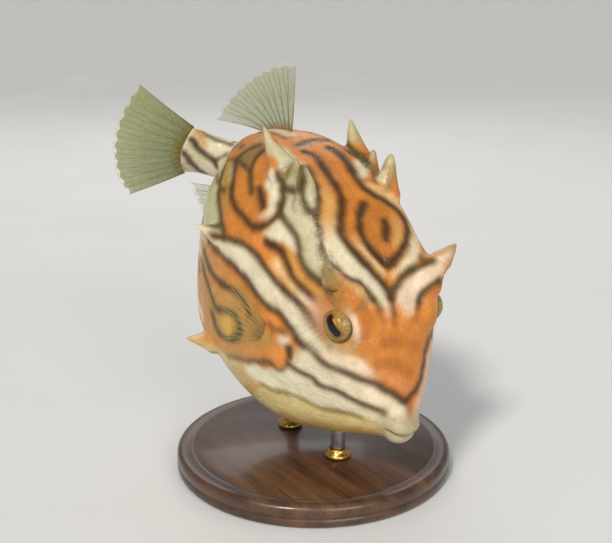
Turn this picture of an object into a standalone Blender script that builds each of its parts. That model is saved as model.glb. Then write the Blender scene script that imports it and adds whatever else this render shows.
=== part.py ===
"""Ornate cowfish, female or young pattern, as a life-size display model on a plain stand.

The fish is drawn in its own frame in millimetres: X towards the snout, Y to the fish's left, Z up.
It is then pitched nose down and lifted over the stand. The blender file is in metres, Z up.
"""
import math

import bmesh
import bpy
from mathutils import Matrix, Vector
from mathutils.bvhtree import BVHTree

for old in list(bpy.data.objects):
    bpy.data.objects.remove(old, do_unlink=True)

MM = 0.001
GAP = 0.3                 # between neighbouring nodes
PITCH = 0.4776            # nose down, radians
HOVER = 58.5              # height of the fish frame's origin over the floor
SHARP = math.radians(30)  # edges steeper than this stay crisp

# Body profiles, from the snout back to the tail opening: station, value
TOP = [(50, -8), (47, -4.5), (43, 1), (38, 7.5), (32, 13.5), (26, 18), (18, 22.8), (8, 26.3),
       (-2, 27.6), (-12, 27.4), (-20, 26), (-28, 22.8), (-34, 18.8), (-39, 14), (-42, 9.5)]
DORSAL_Y = [(50, 3.4), (46, 5.8), (38, 10.4), (32, 13.4), (28, 14.6), (18, 14), (6, 13.1),
            (-6, 12.2), (-14, 11.2), (-22, 10.4), (-30, 9), (-38, 6.5), (-42, 4.6)]
DORSAL_Z = [(50, -9.2), (44, -2.2), (38, 5), (32, 11.5), (28, 15.7), (18, 20.8), (6, 25),
            (-6, 26.0), (-14, 25.2), (-22, 22.8), (-30, 18.6), (-38, 12.5), (-42, 8.0)]
FLANK_Y = [(50, 4.6), (46, 7.4), (40, 12.0), (32, 16.8), (22, 20.8), (10, 23.2), (0, 24),
           (-12, 23.6), (-22, 21.6), (-30, 17.8), (-37, 11.3), (-42, 5.6)]
FLANK_Z = [(50, -10.4), (46, -6.4), (40, -1.6), (32, 1.6), (22, 3), (10, 2.9), (0, 2.6),
           (-12, 2.6), (-22, 2.6), (-30, 2.8), (-36, 3), (-42, 3.2)]
VENTRAL_Y = [(50, 3.8), (46, 6.6), (40, 11.2), (32, 16.4), (22, 20.9), (10, 24), (0, 25),
             (-8, 24.2), (-18, 21.4), (-28, 16.4), (-36, 10), (-42, 4.6)]
VENTRAL_Z = [(50, -13.4), (46, -13.6), (40, -14.4), (32, -15.4), (24, -16.2), (12, -19.4),
             (2, -23.4), (-4, -25.2), (-12, -25), (-20, -21.2), (-28, -15.4), (-36, -7.2),
             (-42, -1.4)]
KEEL = [(50, -16), (46, -19), (40, -24.5), (32, -31), (22, -36.8), (10, -40.5), (0, -40.5),
        (-10, -37.2), (-20, -31), (-28, -22.6), (-36, -12), (-42, -3.5)]
PANEL_BULGE = (0.10, 0.07, 0.05)      # share of a panel's width, back panel to lower flank
BELLY_BULGE = [(50, 0.16), (40, 0.22), (28, 0.26), (10, 0.22), (-6, 0.15), (-20, 0.13), (-42, 0.12)]
PANEL_STEPS = (6, 8, 8, 8)            # faces down each panel of one side
STATIONS = 44
SNOUT_X, TAIL_X = 50.0, -42.0
HEAD_CUT_X = 20.0                     # the head ends and the carapace starts here

# Spines of one side: base, tip, radius at the base and roundness of the tip
SPINES = {
    "front_dorsal": ((4.4, -11.9, 24.6), (-0.3, -13.7, 33.3), 3.0, 1.1),
    "middle_dorsal": ((-3.2, -11.8, 25.4), (-5.0, -11.8, 31.3), 1.9, 0.8),
    "rear_dorsal": ((-9.2, -11.8, 24.8), (-19.5, -13.6, 31.2), 3.8, 0.55),
    "flank": ((-13, -22.6, 2), (-17.6, -28.0, 3.0), 3.2, 0.4),
    "ventral": ((-2.5, -23.6, -26.5), (-7.4, -29, -29.0), 3.3, 0.4),
}
SPINE_SIDES, SPINE_RINGS, SPINE_SINK, SPINE_TIP = 10, 7, 2.5, 0.3
HORN_BASE, HORN_TIP, HORN_RADIUS, HORN_BLUNT = (27.0, -13.4, 15.2), (26.0, -19.8, 23.4), 5.3, 0.5
HORN_CUT, HORN_SINK, STUMP_RINGS = 0.42, 3.5, 3      # share of the horn that is the head's stump

# Eye: ball, rim of the lids, mound of flesh round it, and the funnel that opens the cheek before it
EYE_CENTRE, EYE_RADIUS, EYE_AXIS = (30.45, -12.2, 7.95), 4.8, (0.30, -0.93, 0.15)
LID_RADIUS, LID_THICK, LID_OUT = 4.5, 0.8, 1.8
LID_AROUND, LID_SIDES, FUNNEL_SIDES = 24, 6, 24
ORBIT_CENTRE, ORBIT_RADII = (30.1, -11.2, 7.8), (6.5, 6.5, 5.0)
FUNNEL = ((1.7, 4.5), (2.7, 5.4), (4.6, 7.6), (9.0, 11.0))    # distance from the eye's centre, radius

# Mouth, nostrils and gill slits
MOUTH_Z = -12.1
UPPER_LIP, LOWER_LIP = ((50.2, 0, -10.7), (2.9, 4.4, 2.4)), ((49.8, 0, -13.7), (3.0, 4.2, 2.8))
NOSTRIL_X, NOSTRIL_Z, NOSTRIL_RADII = 40.6, 1.4, (0.75, 0.8, 0.55)
GILL_X, GILL_Z, GILL_RADII = 18.6, -4.6, (0.45, 1.5, 2.6)

# Tail stalk: root, length, how far it turns to the fish's right and how far its end faces down,
# radians; slope down of its centre line at even steps from root to end
TAIL_ROOT, TAIL_LENGTH, TAIL_YAW, TAIL_DROP = (-42.3, 0.0, 2.4), 18.8, 1.5, 0.12
TAIL_SLOPE = (0.7, 0.45, 0.05, -0.35, -0.3)
STALK_HIGH, STALK_WIDE, STALK_EDGE = 6.3, 4.9, 1.0
STALK_STEPS, STALK_SIDES = 12, 24
# Rounded end of the stalk: half height, how far it stands out in the middle, how far its lower
# corner stands back, and how far it sits below the stalk's centre line
END_HIGH, END_ROUND, END_SKEW, END_LOW = 8.0, 2.6, 0.8, 1.6

# Fins: rays, rows of faces from root to margin, thickness at the root and height of the rays' ridges
FIN_TIP = 0.5
CAUDAL_RAYS, CAUDAL_ROWS, CAUDAL_THICK, CAUDAL_RIDGE = 11, 9, 1.6, 0.25
CAUDAL_YAW, CAUDAL_DROP, CAUDAL_LENGTH, CAUDAL_BEND = 1.35, 0.16, 19.2, 1.5
CAUDAL_UPPER, CAUDAL_CORNERS = 1.8, 0.2     # how much longer the upper and the outer rays are
CAUDAL_MIDDLE, CAUDAL_SPREAD = 10, 34       # rise of the middle ray and spread to each side, degrees
DORSAL_RAYS, DORSAL_ROWS, DORSAL_FROM, DORSAL_LONG, DORSAL_REACH = 10, 7, -24.5, 12.0, 18.0
ANAL_RAYS, ANAL_ROWS, ANAL_FROM, ANAL_LONG, ANAL_REACH = 9, 6, -31.5, 7.5, 9.5
MID_FIN_THICK, MID_FIN_RIDGE, MID_FIN_LIFT = 1.2, 0.22, 0.45
PECTORAL_RAYS, PECTORAL_ROWS, PECTORAL_THICK, PECTORAL_RIDGE = 10, 6, 1.0, 0.2
PECTORAL_X, PECTORAL_Z, PECTORAL_HIGH, PECTORAL_REACH = 16.8, -2.6, 5.2, 12.5

# Stand: round base and two rods up to the belly, in metres
BASE_RADIUS, BASE_HIGH, BASE_BEVEL, BASE_SIDES = 0.038, 0.006, 0.0010, 60
ROD_RADIUS, ROD_SIDES, ROD_SPREAD = 0.0019, 24, 0.012

PARTS = bpy.data.collections.new("ornate_cowfish")
TOOLS = bpy.data.collections.new("cutters")
SPARE = bpy.data.collections.new("work_in_hand")
for group in (PARTS, TOOLS, SPARE):
    bpy.context.scene.collection.children.link(group)


def at(points, x):
    """Value at station x of a smooth curve through points listed from high x to low x."""
    p = points[::-1]
    n = len(p)
    x = min(max(x, p[0][0]), p[-1][0])
    slope = [(p[i + 1][1] - p[i][1]) / (p[i + 1][0] - p[i][0]) for i in range(n - 1)]
    tangent = [slope[0]]
    for i in range(1, n - 1):
        a, b = p[i][0] - p[i - 1][0], p[i + 1][0] - p[i][0]
        tangent.append((b * slope[i - 1] + a * slope[i]) / (a + b))
    tangent.append(slope[-1])
    i = 0
    while i < n - 2 and x > p[i + 1][0]:
        i += 1
    h = p[i + 1][0] - p[i][0]
    t = (x - p[i][0]) / h
    return ((1 + 2 * t) * (1 - t) ** 2 * p[i][1] + t * (1 - t) ** 2 * h * tangent[i]
            + t * t * (3 - 2 * t) * p[i + 1][1] + t * t * (t - 1) * h * tangent[i + 1])


def half_section(x):
    """Points down the fish's right side at station x, from the top line to the keel."""
    keys = [(0.0, at(TOP, x)), (-at(DORSAL_Y, x), at(DORSAL_Z, x)),
            (-at(FLANK_Y, x), at(FLANK_Z, x)), (-at(VENTRAL_Y, x), at(VENTRAL_Z, x)),
            (0.0, at(KEEL, x))]
    bulges = PANEL_BULGE + (at(BELLY_BULGE, x),)
    points = []
    for k, steps in enumerate(PANEL_STEPS):
        a, b = Vector(keys[k]), Vector(keys[k + 1])
        d = b - a
        out = Vector((d.y, -d.x))
        for j in range(steps):
            t = j / steps
            points.append(a + d * t + out * bulges[k] * 4 * t * (1 - t))
    points.append(Vector(keys[4]))
    return points


def ring(x):
    """Closed cross section at station x."""
    right = half_section(x)
    left = [Vector((-p.x, p.y)) for p in reversed(right[1:-1])]
    return [Vector((x, p.x, p.y)) for p in right + left]


def loft(rings):
    """Closed mesh through rings of equal length, with a flat face on both ends."""
    bm = bmesh.new()
    rows = [[bm.verts.new(p) for p in r] for r in rings]
    n = len(rows[0])
    for a, b in zip(rows, rows[1:]):
        for i in range(n):
            k = (i + 1) % n
            bm.faces.new((a[i], a[k], b[k], b[i]))
    bm.faces.new(rows[0][::-1])
    bm.faces.new(rows[-1])
    bmesh.ops.recalc_face_normals(bm, faces=bm.faces)
    return bm


def add(bm, name, material=None, group=PARTS):
    """Object from a mesh under construction."""
    mesh = bpy.data.meshes.new(name)
    bm.to_mesh(mesh)
    bm.free()
    obj = bpy.data.objects.new(name, mesh)
    group.objects.link(obj)
    if material:
        mesh.materials.append(material)
    return obj


def tool(bm, name):
    """A closed mesh for the next Boolean."""
    obj = add(bm, name, group=TOOLS)
    obj.hide_render = True
    obj.display_type = "WIRE"


def mirror(bm):
    """The other side of the fish."""
    bmesh.ops.scale(bm, vec=(1, -1, 1), verts=bm.verts)
    bmesh.ops.reverse_faces(bm, faces=bm.faces)
    return bm


def tool_pair(make, name):
    """What make() gives and its mirror image, for the next Boolean."""
    tool(make(), name + "_right")
    tool(mirror(make()), name + "_left")


def body():
    """The plated body without its spines, from the lips to the tail opening."""
    step = (TAIL_X - SNOUT_X) / (STATIONS - 1)
    return loft([ring(SNOUT_X + step * i) for i in range(STATIONS)])


def spine(base, tip, radius, blunt, start=0.0, stop=1.0, rings=SPINE_RINGS, sink=SPINE_SINK):
    """Spine with a flared foot and a rounded tip, or the span of one from start to stop.

    Rings are closer towards the tip. A spine that starts at its base is sunk into the body.
    """
    base, tip = Vector(base), Vector(tip)
    axis = tip - base
    length = axis.length
    axis.normalize()
    u = axis.cross(Vector((1, 0, 0.3))).normalized()
    v = axis.cross(u)
    spans = [start + (stop - start) * (1 - (1 - i / rings) ** 1.5) for i in range(rings + 1)]
    if start == 0.0:
        spans = [-sink / length] + spans
    out = []
    for t in spans:
        tt = max(t, 0.0)
        flare = 0.80 * (1 - tt) ** 1.15 + 0.18 * math.exp(-7 * tt)
        r = max(radius * flare + blunt * math.sqrt(1 - tt ** 6), SPINE_TIP)
        centre = base + axis * length * t
        out.append([centre + (u * math.cos(a) + v * math.sin(a)) * r
                    for a in [2 * math.pi * k / SPINE_SIDES for k in range(SPINE_SIDES)]])
    return loft(out)


def ball(centre, radii, segments=24, rings=14, axis=(0, 0, 1)):
    bm = bmesh.new()
    bmesh.ops.create_uvsphere(bm, u_segments=segments, v_segments=rings, radius=1.0)
    turn = Vector(axis).to_track_quat("Z", "Y").to_matrix().to_4x4()
    bm.transform(Matrix.Translation(centre) @ turn @ Matrix.Diagonal((*radii, 1.0)))
    return bm


def facing_out(far):
    """Frame at a distance from the eye's centre, with Z along the way the eye looks."""
    axis = Vector(EYE_AXIS).normalized()
    turn = axis.to_track_quat("Z", "Y").to_matrix().to_4x4()
    return Matrix.Translation(Vector(EYE_CENTRE) + axis * far) @ turn


def lid():
    """Rim round the eye."""
    bpy.ops.mesh.primitive_torus_add(major_radius=LID_RADIUS, minor_radius=LID_THICK,
                                     major_segments=LID_AROUND, minor_segments=LID_SIDES)
    rim = bpy.context.object
    bm = bmesh.new()
    bm.from_mesh(rim.data)
    bpy.data.objects.remove(rim, do_unlink=True)
    bm.transform(facing_out(LID_OUT))
    return bm


def funnel():
    """Widening cutter that opens the cheek in front of the eye."""
    turns = [2 * math.pi * k / FUNNEL_SIDES for k in range(FUNNEL_SIDES)]
    rings = []
    for far, radius in FUNNEL:
        frame = facing_out(far)
        rings.append([frame @ Vector((radius * math.cos(a), radius * math.sin(a), 0)) for a in turns])
    return loft(rings)


def apply_boolean(obj, operation):
    """One Boolean with everything among the tools, which are removed afterwards."""
    mod = obj.modifiers.new("shape", "BOOLEAN")
    mod.operation = operation
    mod.operand_type = "COLLECTION"
    mod.collection = TOOLS
    mod.solver = "EXACT"
    bpy.context.view_layer.update()
    graph = bpy.context.evaluated_depsgraph_get()
    mesh = bpy.data.meshes.new_from_object(obj.evaluated_get(graph))
    obj.modifiers.clear()
    old = obj.data
    obj.data = mesh
    bpy.data.meshes.remove(old)
    for used in list(TOOLS.objects):
        bpy.data.objects.remove(used, do_unlink=True)
    keep_largest(obj)


def keep_largest(obj):
    """Keep the largest closed surface of a mesh."""
    bm = bmesh.new()
    bm.from_mesh(obj.data)
    bmesh.ops.remove_doubles(bm, verts=bm.verts, dist=0.0005)
    bm.verts.ensure_lookup_table()
    seen = set()
    groups = []
    for v in bm.verts:
        if v.index in seen:
            continue
        stack, found = [v], []
        seen.add(v.index)
        while stack:
            w = stack.pop()
            found.append(w)
            for e in w.link_edges:
                o = e.other_vert(w)
                if o.index not in seen:
                    seen.add(o.index)
                    stack.append(o)
        groups.append(found)
    groups.sort(key=len)
    loose = [v for g in groups[:-1] for v in g]
    if loose:
        bmesh.ops.delete(bm, geom=loose, context="VERTS")
    bm.to_mesh(obj.data)
    bm.free()


def cut_plane(source, name, point, normal, material, group=PARTS):
    """Copy of source with the side that normal points to cut off along a flat face."""
    bm = bmesh.new()
    bm.from_mesh(source.data)
    geom = bm.verts[:] + bm.edges[:] + bm.faces[:]
    bmesh.ops.bisect_plane(bm, geom=geom, plane_co=point, plane_no=normal, clear_outer=True,
                           dist=0.0001)
    rim = [e for e in bm.edges if e.is_boundary]
    bmesh.ops.edgeloop_fill(bm, edges=rim)
    bmesh.ops.recalc_face_normals(bm, faces=bm.faces)
    return add(bm, name, material, group)


def cylinder(radius, sides):
    """Closed cylinder as high as the base, in metres."""
    bm = bmesh.new()
    bmesh.ops.create_cone(bm, cap_ends=True, segments=sides, radius1=radius, radius2=radius,
                          depth=BASE_HIGH)
    return bm


def paint(name, colour, rough, metal=0.0):
    """Plain material of one node kind."""
    mat = bpy.data.materials.new(name)
    mat.use_nodes = True
    shader = mat.node_tree.nodes["Principled BSDF"]
    shader.inputs["Base Color"].default_value = (*colour, 1.0)
    shader.inputs["Roughness"].default_value = rough
    shader.inputs["Metallic"].default_value = metal
    return mat


def direction(yaw, drop):
    """Direction backwards, turned to the fish's right by yaw and down by drop."""
    return Vector((-math.cos(yaw) * math.cos(drop), -math.sin(yaw) * math.cos(drop), -math.sin(drop)))


def upright(d):
    """Up and side directions of a section whose normal is d."""
    up = Vector((0, 0, 1))
    up -= d * up.dot(d)
    up.normalize()
    return up, d.cross(up)


def slope_down(t):
    """Slope of the stalk's centre line at share t of its length."""
    spot = t * (len(TAIL_SLOPE) - 1)
    k = min(int(spot), len(TAIL_SLOPE) - 2)
    return TAIL_SLOPE[k] + (TAIL_SLOPE[k + 1] - TAIL_SLOPE[k]) * (spot - k)


def tail_line():
    """Centres of the tail stalk's sections and the directions they face."""
    steps = 4 * STALK_STEPS
    p, out = Vector(TAIL_ROOT), [(Vector(TAIL_ROOT), Vector((-1, 0, 0)))]
    for i in range(steps):
        t = (i + 0.5) / steps
        p = p + direction(TAIL_YAW * t, slope_down(t)) * TAIL_LENGTH / steps
        t = (i + 1) / steps
        out.append((p.copy(), direction(TAIL_YAW * t, TAIL_DROP * t)))
    return out[::4]


def end_reach(q):
    """How far the stalk's end stands out at share q of its half height, from -1 to 1."""
    return END_ROUND * (1 - q * q) + END_SKEW * (1 - q)


def stalk():
    """Tail stalk, bent to the fish's right; its rounded end is closed with cross strips."""
    rings = []
    for i, (p, d) in enumerate(LINE):
        t = i / STALK_STEPS
        up, side = upright(d)
        high = STALK_HIGH + (END_HIGH - STALK_HIGH) * t * t
        wide = STALK_WIDE * (1 - t) ** 0.8 + STALK_EDGE
        row = []
        for k in range(STALK_SIDES):
            a = 2 * math.pi * k / STALK_SIDES
            q = math.sin(a)
            row.append(p + up * (high * q - END_LOW * t * t) + side * wide * math.cos(a)
                       + d * end_reach(q) * t ** 3)
        rings.append(row)
    bm = loft(rings)
    bm.faces.ensure_lookup_table()
    bmesh.ops.delete(bm, geom=[bm.faces[-1]], context="FACES_ONLY")
    bm.verts.ensure_lookup_table()
    last = bm.verts[-STALK_SIDES:]
    for k in range(-STALK_SIDES // 4, STALK_SIDES // 4):
        across = STALK_SIDES // 2 - k
        corners = []
        for j in (k, k + 1, across - 1, across):
            v = last[j % STALK_SIDES]
            if v not in corners:
                corners.append(v)
        bm.faces.new(corners)
    bmesh.ops.recalc_face_normals(bm, faces=bm.faces)
    return bm


def fin(rays, rows, thick_root, thick_tip, ridge, between=3):
    """Closed blade with a raised ridge along every ray.

    rays: list of functions giving a point for a share 0..1 of the ray's length, and the
    blade's side direction. The same diagonal is used on both faces.
    """
    columns = []
    n = len(rays)
    for k in range(n):
        columns.append((k, 0.0, 1.0))
        if k < n - 1:
            for j in range(1, between):
                columns.append((k, j / between, 0.0))
    bm = bmesh.new()
    front, back = [], []
    for k, share, raised in columns:
        f_row, b_row = [], []
        for i in range(rows + 1):
            s = i / rows
            p, side = rays[k](s)
            if share:
                q, other = rays[k + 1](s)
                p = p.lerp(q, share)
                side = side.lerp(other, share).normalized()
            half = (thick_root + (thick_tip - thick_root) * s ** 0.7) / 2
            half += raised * ridge * (1 - 0.75 * s)
            f_row.append(bm.verts.new(p + side * half))
            b_row.append(bm.verts.new(p - side * half))
        front.append(f_row)
        back.append(b_row)
    m = len(columns)
    for c in range(m - 1):
        for i in range(rows):
            f = (front[c][i], front[c + 1][i], front[c + 1][i + 1], front[c][i + 1])
            b = (back[c][i], back[c + 1][i], back[c + 1][i + 1], back[c][i + 1])
            bm.faces.new((f[0], f[1], f[2]))
            bm.faces.new((f[0], f[2], f[3]))
            bm.faces.new((b[2], b[1], b[0]))
            bm.faces.new((b[3], b[2], b[0]))
    for c in range(m - 1):
        bm.faces.new((front[c][0], back[c][0], back[c + 1][0], front[c + 1][0]))
        bm.faces.new((front[c][rows], front[c + 1][rows], back[c + 1][rows], back[c][rows]))
    for i in range(rows):
        bm.faces.new((front[0][i], front[0][i + 1], back[0][i + 1], back[0][i]))
        bm.faces.new((front[m - 1][i], back[m - 1][i], back[m - 1][i + 1], front[m - 1][i + 1]))
    bmesh.ops.recalc_face_normals(bm, faces=bm.faces)
    return bm


def flank_y(x, z):
    """How far out the right side stands at station x and height z."""
    pts = half_section(x)
    for a, b in zip(pts, pts[1:]):
        if a.y >= z >= b.y:
            t = (a.y - z) / max(a.y - b.y, 1e-6)
            return a.x + (b.x - a.x) * t
    return pts[0].x


def caudal_ray(k):
    """Ray of the tail fin, from the rounded end of the stalk; the first one is the highest."""
    q = 1 - 2 * k / (CAUDAL_RAYS - 1)
    angle = math.radians(CAUDAL_MIDDLE + CAUDAL_SPREAD * q)
    length = CAUDAL_LENGTH + CAUDAL_UPPER * q + CAUDAL_CORNERS * q * q
    tail_end, tail_dir = LINE[-1]
    end_up, end_side = upright(tail_dir)
    fan_dir = direction(CAUDAL_YAW, CAUDAL_DROP)
    fan_up, fan_side = upright(fan_dir)
    root = tail_end + tail_dir * (GAP + end_reach(q)) + end_up * (END_HIGH * q - END_LOW)
    d = fan_dir * math.cos(angle) + fan_up * math.sin(angle)

    def point(s):
        p = root + d * length * s + fan_side * CAUDAL_BEND * s * s
        return p, end_side.lerp(fan_side, min(1, s * 3))
    return point


def mid_ray(x, z, degrees, length, bend):
    """Ray of a fin on the mid line."""
    angle = math.radians(degrees)

    def point(s):
        p = Vector((x, 0, z)) + length * s * Vector((math.cos(angle), 0, math.sin(angle)))
        return p + Vector((0, bend * s * s, 0)), Vector((0, 1, 0))
    return point


def dorsal_ray(k):
    t = k / (DORSAL_RAYS - 1)
    x = DORSAL_FROM - DORSAL_LONG * t
    reach = DORSAL_REACH - 2.5 * math.sin(math.pi * t)
    return mid_ray(x, at(TOP, x) + MID_FIN_LIFT, 106 + 96 * t, reach, -1 - 4 * t)


def anal_ray(k):
    t = k / (ANAL_RAYS - 1)
    x = ANAL_FROM - ANAL_LONG * t
    return mid_ray(x, at(KEEL, x) - MID_FIN_LIFT, 236 - 36 * t, ANAL_REACH + 5.5 * t, -3 - 6 * t)


def pectoral_ray(k):
    """Ray of the right pectoral fin, held open behind the gill slit."""
    t = k / (PECTORAL_RAYS - 1)
    x, z = PECTORAL_X - abs(t - 0.5), PECTORAL_Z - PECTORAL_HIGH * t
    root = Vector((x, flank_y(x, z) - 1.1, z))
    a = math.radians(40 - 84 * t)
    d = Vector((-math.cos(a) * 0.9, -0.40, math.sin(a))).normalized()
    length = PECTORAL_REACH - 2.0 * abs(t - 0.4)
    side = d.cross(Vector((0.15, -0.25, -1)).normalized()).normalized()

    def point(s):
        return root + d * length * s, side
    return point


LINE = tail_line()

skin = paint("skin", (0.62, 0.36, 0.13), 0.4)
horn_mat = paint("horn", (0.76, 0.68, 0.48), 0.35)
lip_mat = paint("lip", (0.66, 0.52, 0.36), 0.35)
eye_mat = paint("eye", (0.10, 0.08, 0.03), 0.1)
fin_mat = paint("fin", (0.30, 0.33, 0.12), 0.4)
wood_mat = paint("stand_wood", (0.09, 0.045, 0.025), 0.35)
steel_mat = paint("stand_steel", (0.55, 0.55, 0.56), 0.3, 1.0)

# Head and carapace in one: body, spines, horn stumps and orbits, then the openings and lids
whole = add(body(), "whole", group=SPARE)
for name, (base, tip, radius, blunt) in SPINES.items():
    tool_pair(lambda: spine(base, tip, radius, blunt), name)
horn_shape = (HORN_BASE, HORN_TIP, HORN_RADIUS, HORN_BLUNT)
tool_pair(lambda: spine(*horn_shape, stop=HORN_CUT, rings=STUMP_RINGS, sink=HORN_SINK), "stump")
tool_pair(lambda: ball(ORBIT_CENTRE, ORBIT_RADII, axis=EYE_AXIS), "orbit")
apply_boolean(whole, "UNION")
tool_pair(funnel, "funnel")
apply_boolean(whole, "DIFFERENCE")
tool_pair(lid, "lid")
apply_boolean(whole, "UNION")
nostril = (NOSTRIL_X, flank_y(NOSTRIL_X, NOSTRIL_Z) - 0.1, NOSTRIL_Z)
tool_pair(lambda: ball(EYE_CENTRE, (EYE_RADIUS + GAP,) * 3, axis=EYE_AXIS), "socket")
tool_pair(lambda: ball(nostril, NOSTRIL_RADII, 10, 6), "nostril")
apply_boolean(whole, "DIFFERENCE")

# Head and carapace, with the gill slits just behind the cut
head = cut_plane(whole, "head", (HEAD_CUT_X + GAP / 2, 0, 0), (-1, 0, 0), skin)
carapace = cut_plane(whole, "carapace", (HEAD_CUT_X - GAP / 2, 0, 0), (1, 0, 0), skin)
bpy.data.objects.remove(whole, do_unlink=True)
gill = (GILL_X, flank_y(GILL_X, GILL_Z) + 0.2, GILL_Z)
tool_pair(lambda: ball(gill, GILL_RADII, 12, 8), "gill")
apply_boolean(carapace, "DIFFERENCE")
nodes = [head, carapace]

# Horns and eyes
horn_start = HORN_CUT + GAP / (Vector(HORN_TIP) - Vector(HORN_BASE)).length
for side, turned in (("right", lambda bm: bm), ("left", mirror)):
    horn = spine(*horn_shape, start=horn_start)
    nodes.append(add(turned(horn), "horn_" + side, horn_mat))
    eye = ball(EYE_CENTRE, (EYE_RADIUS,) * 3, axis=EYE_AXIS)
    nodes.append(add(turned(eye), "eye_" + side, eye_mat))

# Lips: two rounded pads either side of the line of the mouth
for name, (centre, radii), side in (("upper_lip", UPPER_LIP, 1), ("lower_lip", LOWER_LIP, -1)):
    pad = add(ball(centre, radii), "pad", group=SPARE)
    front = cut_plane(pad, "front", (SNOUT_X + GAP, 0, 0), (-1, 0, 0), lip_mat, SPARE)
    nodes.append(cut_plane(front, name, (0, 0, MOUTH_Z + side * GAP / 2), (0, 0, -side), lip_mat))
    for spare in (pad, front):
        bpy.data.objects.remove(spare, do_unlink=True)

# Tail stalk and fins
nodes.append(add(stalk(), "peduncle", skin))
for name, ray, count, rows, thick, ridge in (
        ("caudal_fin", caudal_ray, CAUDAL_RAYS, CAUDAL_ROWS, CAUDAL_THICK, CAUDAL_RIDGE),
        ("dorsal_fin", dorsal_ray, DORSAL_RAYS, DORSAL_ROWS, MID_FIN_THICK, MID_FIN_RIDGE),
        ("anal_fin", anal_ray, ANAL_RAYS, ANAL_ROWS, MID_FIN_THICK, MID_FIN_RIDGE),
        ("pectoral_fin_right", pectoral_ray, PECTORAL_RAYS, PECTORAL_ROWS, PECTORAL_THICK, PECTORAL_RIDGE),
        ("pectoral_fin_left", pectoral_ray, PECTORAL_RAYS, PECTORAL_ROWS, PECTORAL_THICK, PECTORAL_RIDGE)):
    blade = fin([ray(k) for k in range(count)], rows, thick, FIN_TIP, ridge)
    if name.endswith("left"):
        mirror(blade)
    nodes.append(add(blade, name, fin_mat))

# Pitch the fish nose down over the stand
fish = bpy.data.objects.new("fish_frame", None)
fish.location = (0, 0, HOVER * MM)
fish.rotation_euler = (0, PITCH, 0)
PARTS.objects.link(fish)
for obj in nodes:
    obj.data.transform(Matrix.Diagonal((MM, MM, MM, 1)))
    obj.parent = fish

# Stand: a round base with bevelled edges, and two rods that follow the belly at a small gap
base = add(cylinder(BASE_RADIUS, BASE_SIDES), "stand_base", wood_mat)
base.location.z = BASE_HIGH / 2
bevel = base.modifiers.new("edges", "BEVEL")
bevel.width = BASE_BEVEL
bevel.segments = 2
bevel.limit_method = "ANGLE"

solid = body()
solid.transform(Matrix.Translation((0, 0, HOVER * MM)) @ Matrix.Rotation(PITCH, 4, "Y")
                @ Matrix.Diagonal((MM, MM, MM, 1)))
belly = BVHTree.FromBMesh(solid)
solid.free()
for name, x in (("stand_rod_front", ROD_SPREAD), ("stand_rod_rear", -ROD_SPREAD)):
    bm = cylinder(ROD_RADIUS, ROD_SIDES)
    for vert in bm.verts:
        above = vert.co.z > 0
        vert.co.x += x
        vert.co.z = BASE_HIGH + GAP * MM
        if above:
            vert.co.z = belly.ray_cast(vert.co, Vector((0, 0, 1)))[0].z - GAP * MM
    nodes.append(add(bm, name, steel_mat))
nodes.append(base)

for obj in nodes:
    obj.data.shade_smooth()
    obj.data.set_sharp_from_angle(angle=SHARP)
for group in (TOOLS, SPARE):
    bpy.data.collections.remove(group)
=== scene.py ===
"""Looks of the ornate cowfish display model: skin with its markings, eyes, fins, stand and studio.

The fish is drawn in its own frame in millimetres, X to the snout, Y to its left, Z up, as in the
part's source. Shapes are given for its right side, where Y is below 0, and mirrored. PLACE pitches
it nose down, lifts it over the stand and turns millimetres into metres.
"""
import math

import bmesh
import bpy
import numpy as np
from mathutils import Matrix, Vector
from mathutils.bvhtree import BVHTree


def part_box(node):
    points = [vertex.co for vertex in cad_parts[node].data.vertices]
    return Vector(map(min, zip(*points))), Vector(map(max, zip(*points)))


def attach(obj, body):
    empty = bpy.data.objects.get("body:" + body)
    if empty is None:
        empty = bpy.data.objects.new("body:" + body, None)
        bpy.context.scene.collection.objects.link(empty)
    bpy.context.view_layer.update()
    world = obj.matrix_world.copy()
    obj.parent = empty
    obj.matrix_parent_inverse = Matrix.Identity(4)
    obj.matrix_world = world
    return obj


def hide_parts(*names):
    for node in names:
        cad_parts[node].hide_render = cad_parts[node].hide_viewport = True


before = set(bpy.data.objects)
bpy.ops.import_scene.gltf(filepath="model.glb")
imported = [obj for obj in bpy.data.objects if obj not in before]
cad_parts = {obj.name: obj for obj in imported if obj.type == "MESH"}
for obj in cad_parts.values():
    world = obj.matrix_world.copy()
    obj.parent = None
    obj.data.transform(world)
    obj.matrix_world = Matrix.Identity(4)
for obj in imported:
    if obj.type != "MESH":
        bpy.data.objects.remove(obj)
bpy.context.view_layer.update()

# Millimetre in metres, nose-down pitch in radians and height of the fish frame over the floor
MM = 0.001
PITCH = 0.4776
HOVER = 58.5
PLACE = (Matrix.Diagonal((MM, MM, MM, 1)) @ Matrix.Translation((0, 0, HOVER))
         @ Matrix.Rotation(PITCH, 4, "Y"))

# The photograph's camera round the fish: azimuth and elevation of its place, its distance, and
# how far its aim turns off the fish frame's origin
PHOTO_WIDE, PHOTO_HIGH, PHOTO_FOCAL = 612, 543, 1000.0
CAMERA_AZIMUTH, CAMERA_ELEVATION, CAMERA_DISTANCE = 0.5940, 0.2667, 266.8
CAMERA_PAN, CAMERA_TILT = -0.0079, 0.0117

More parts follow.
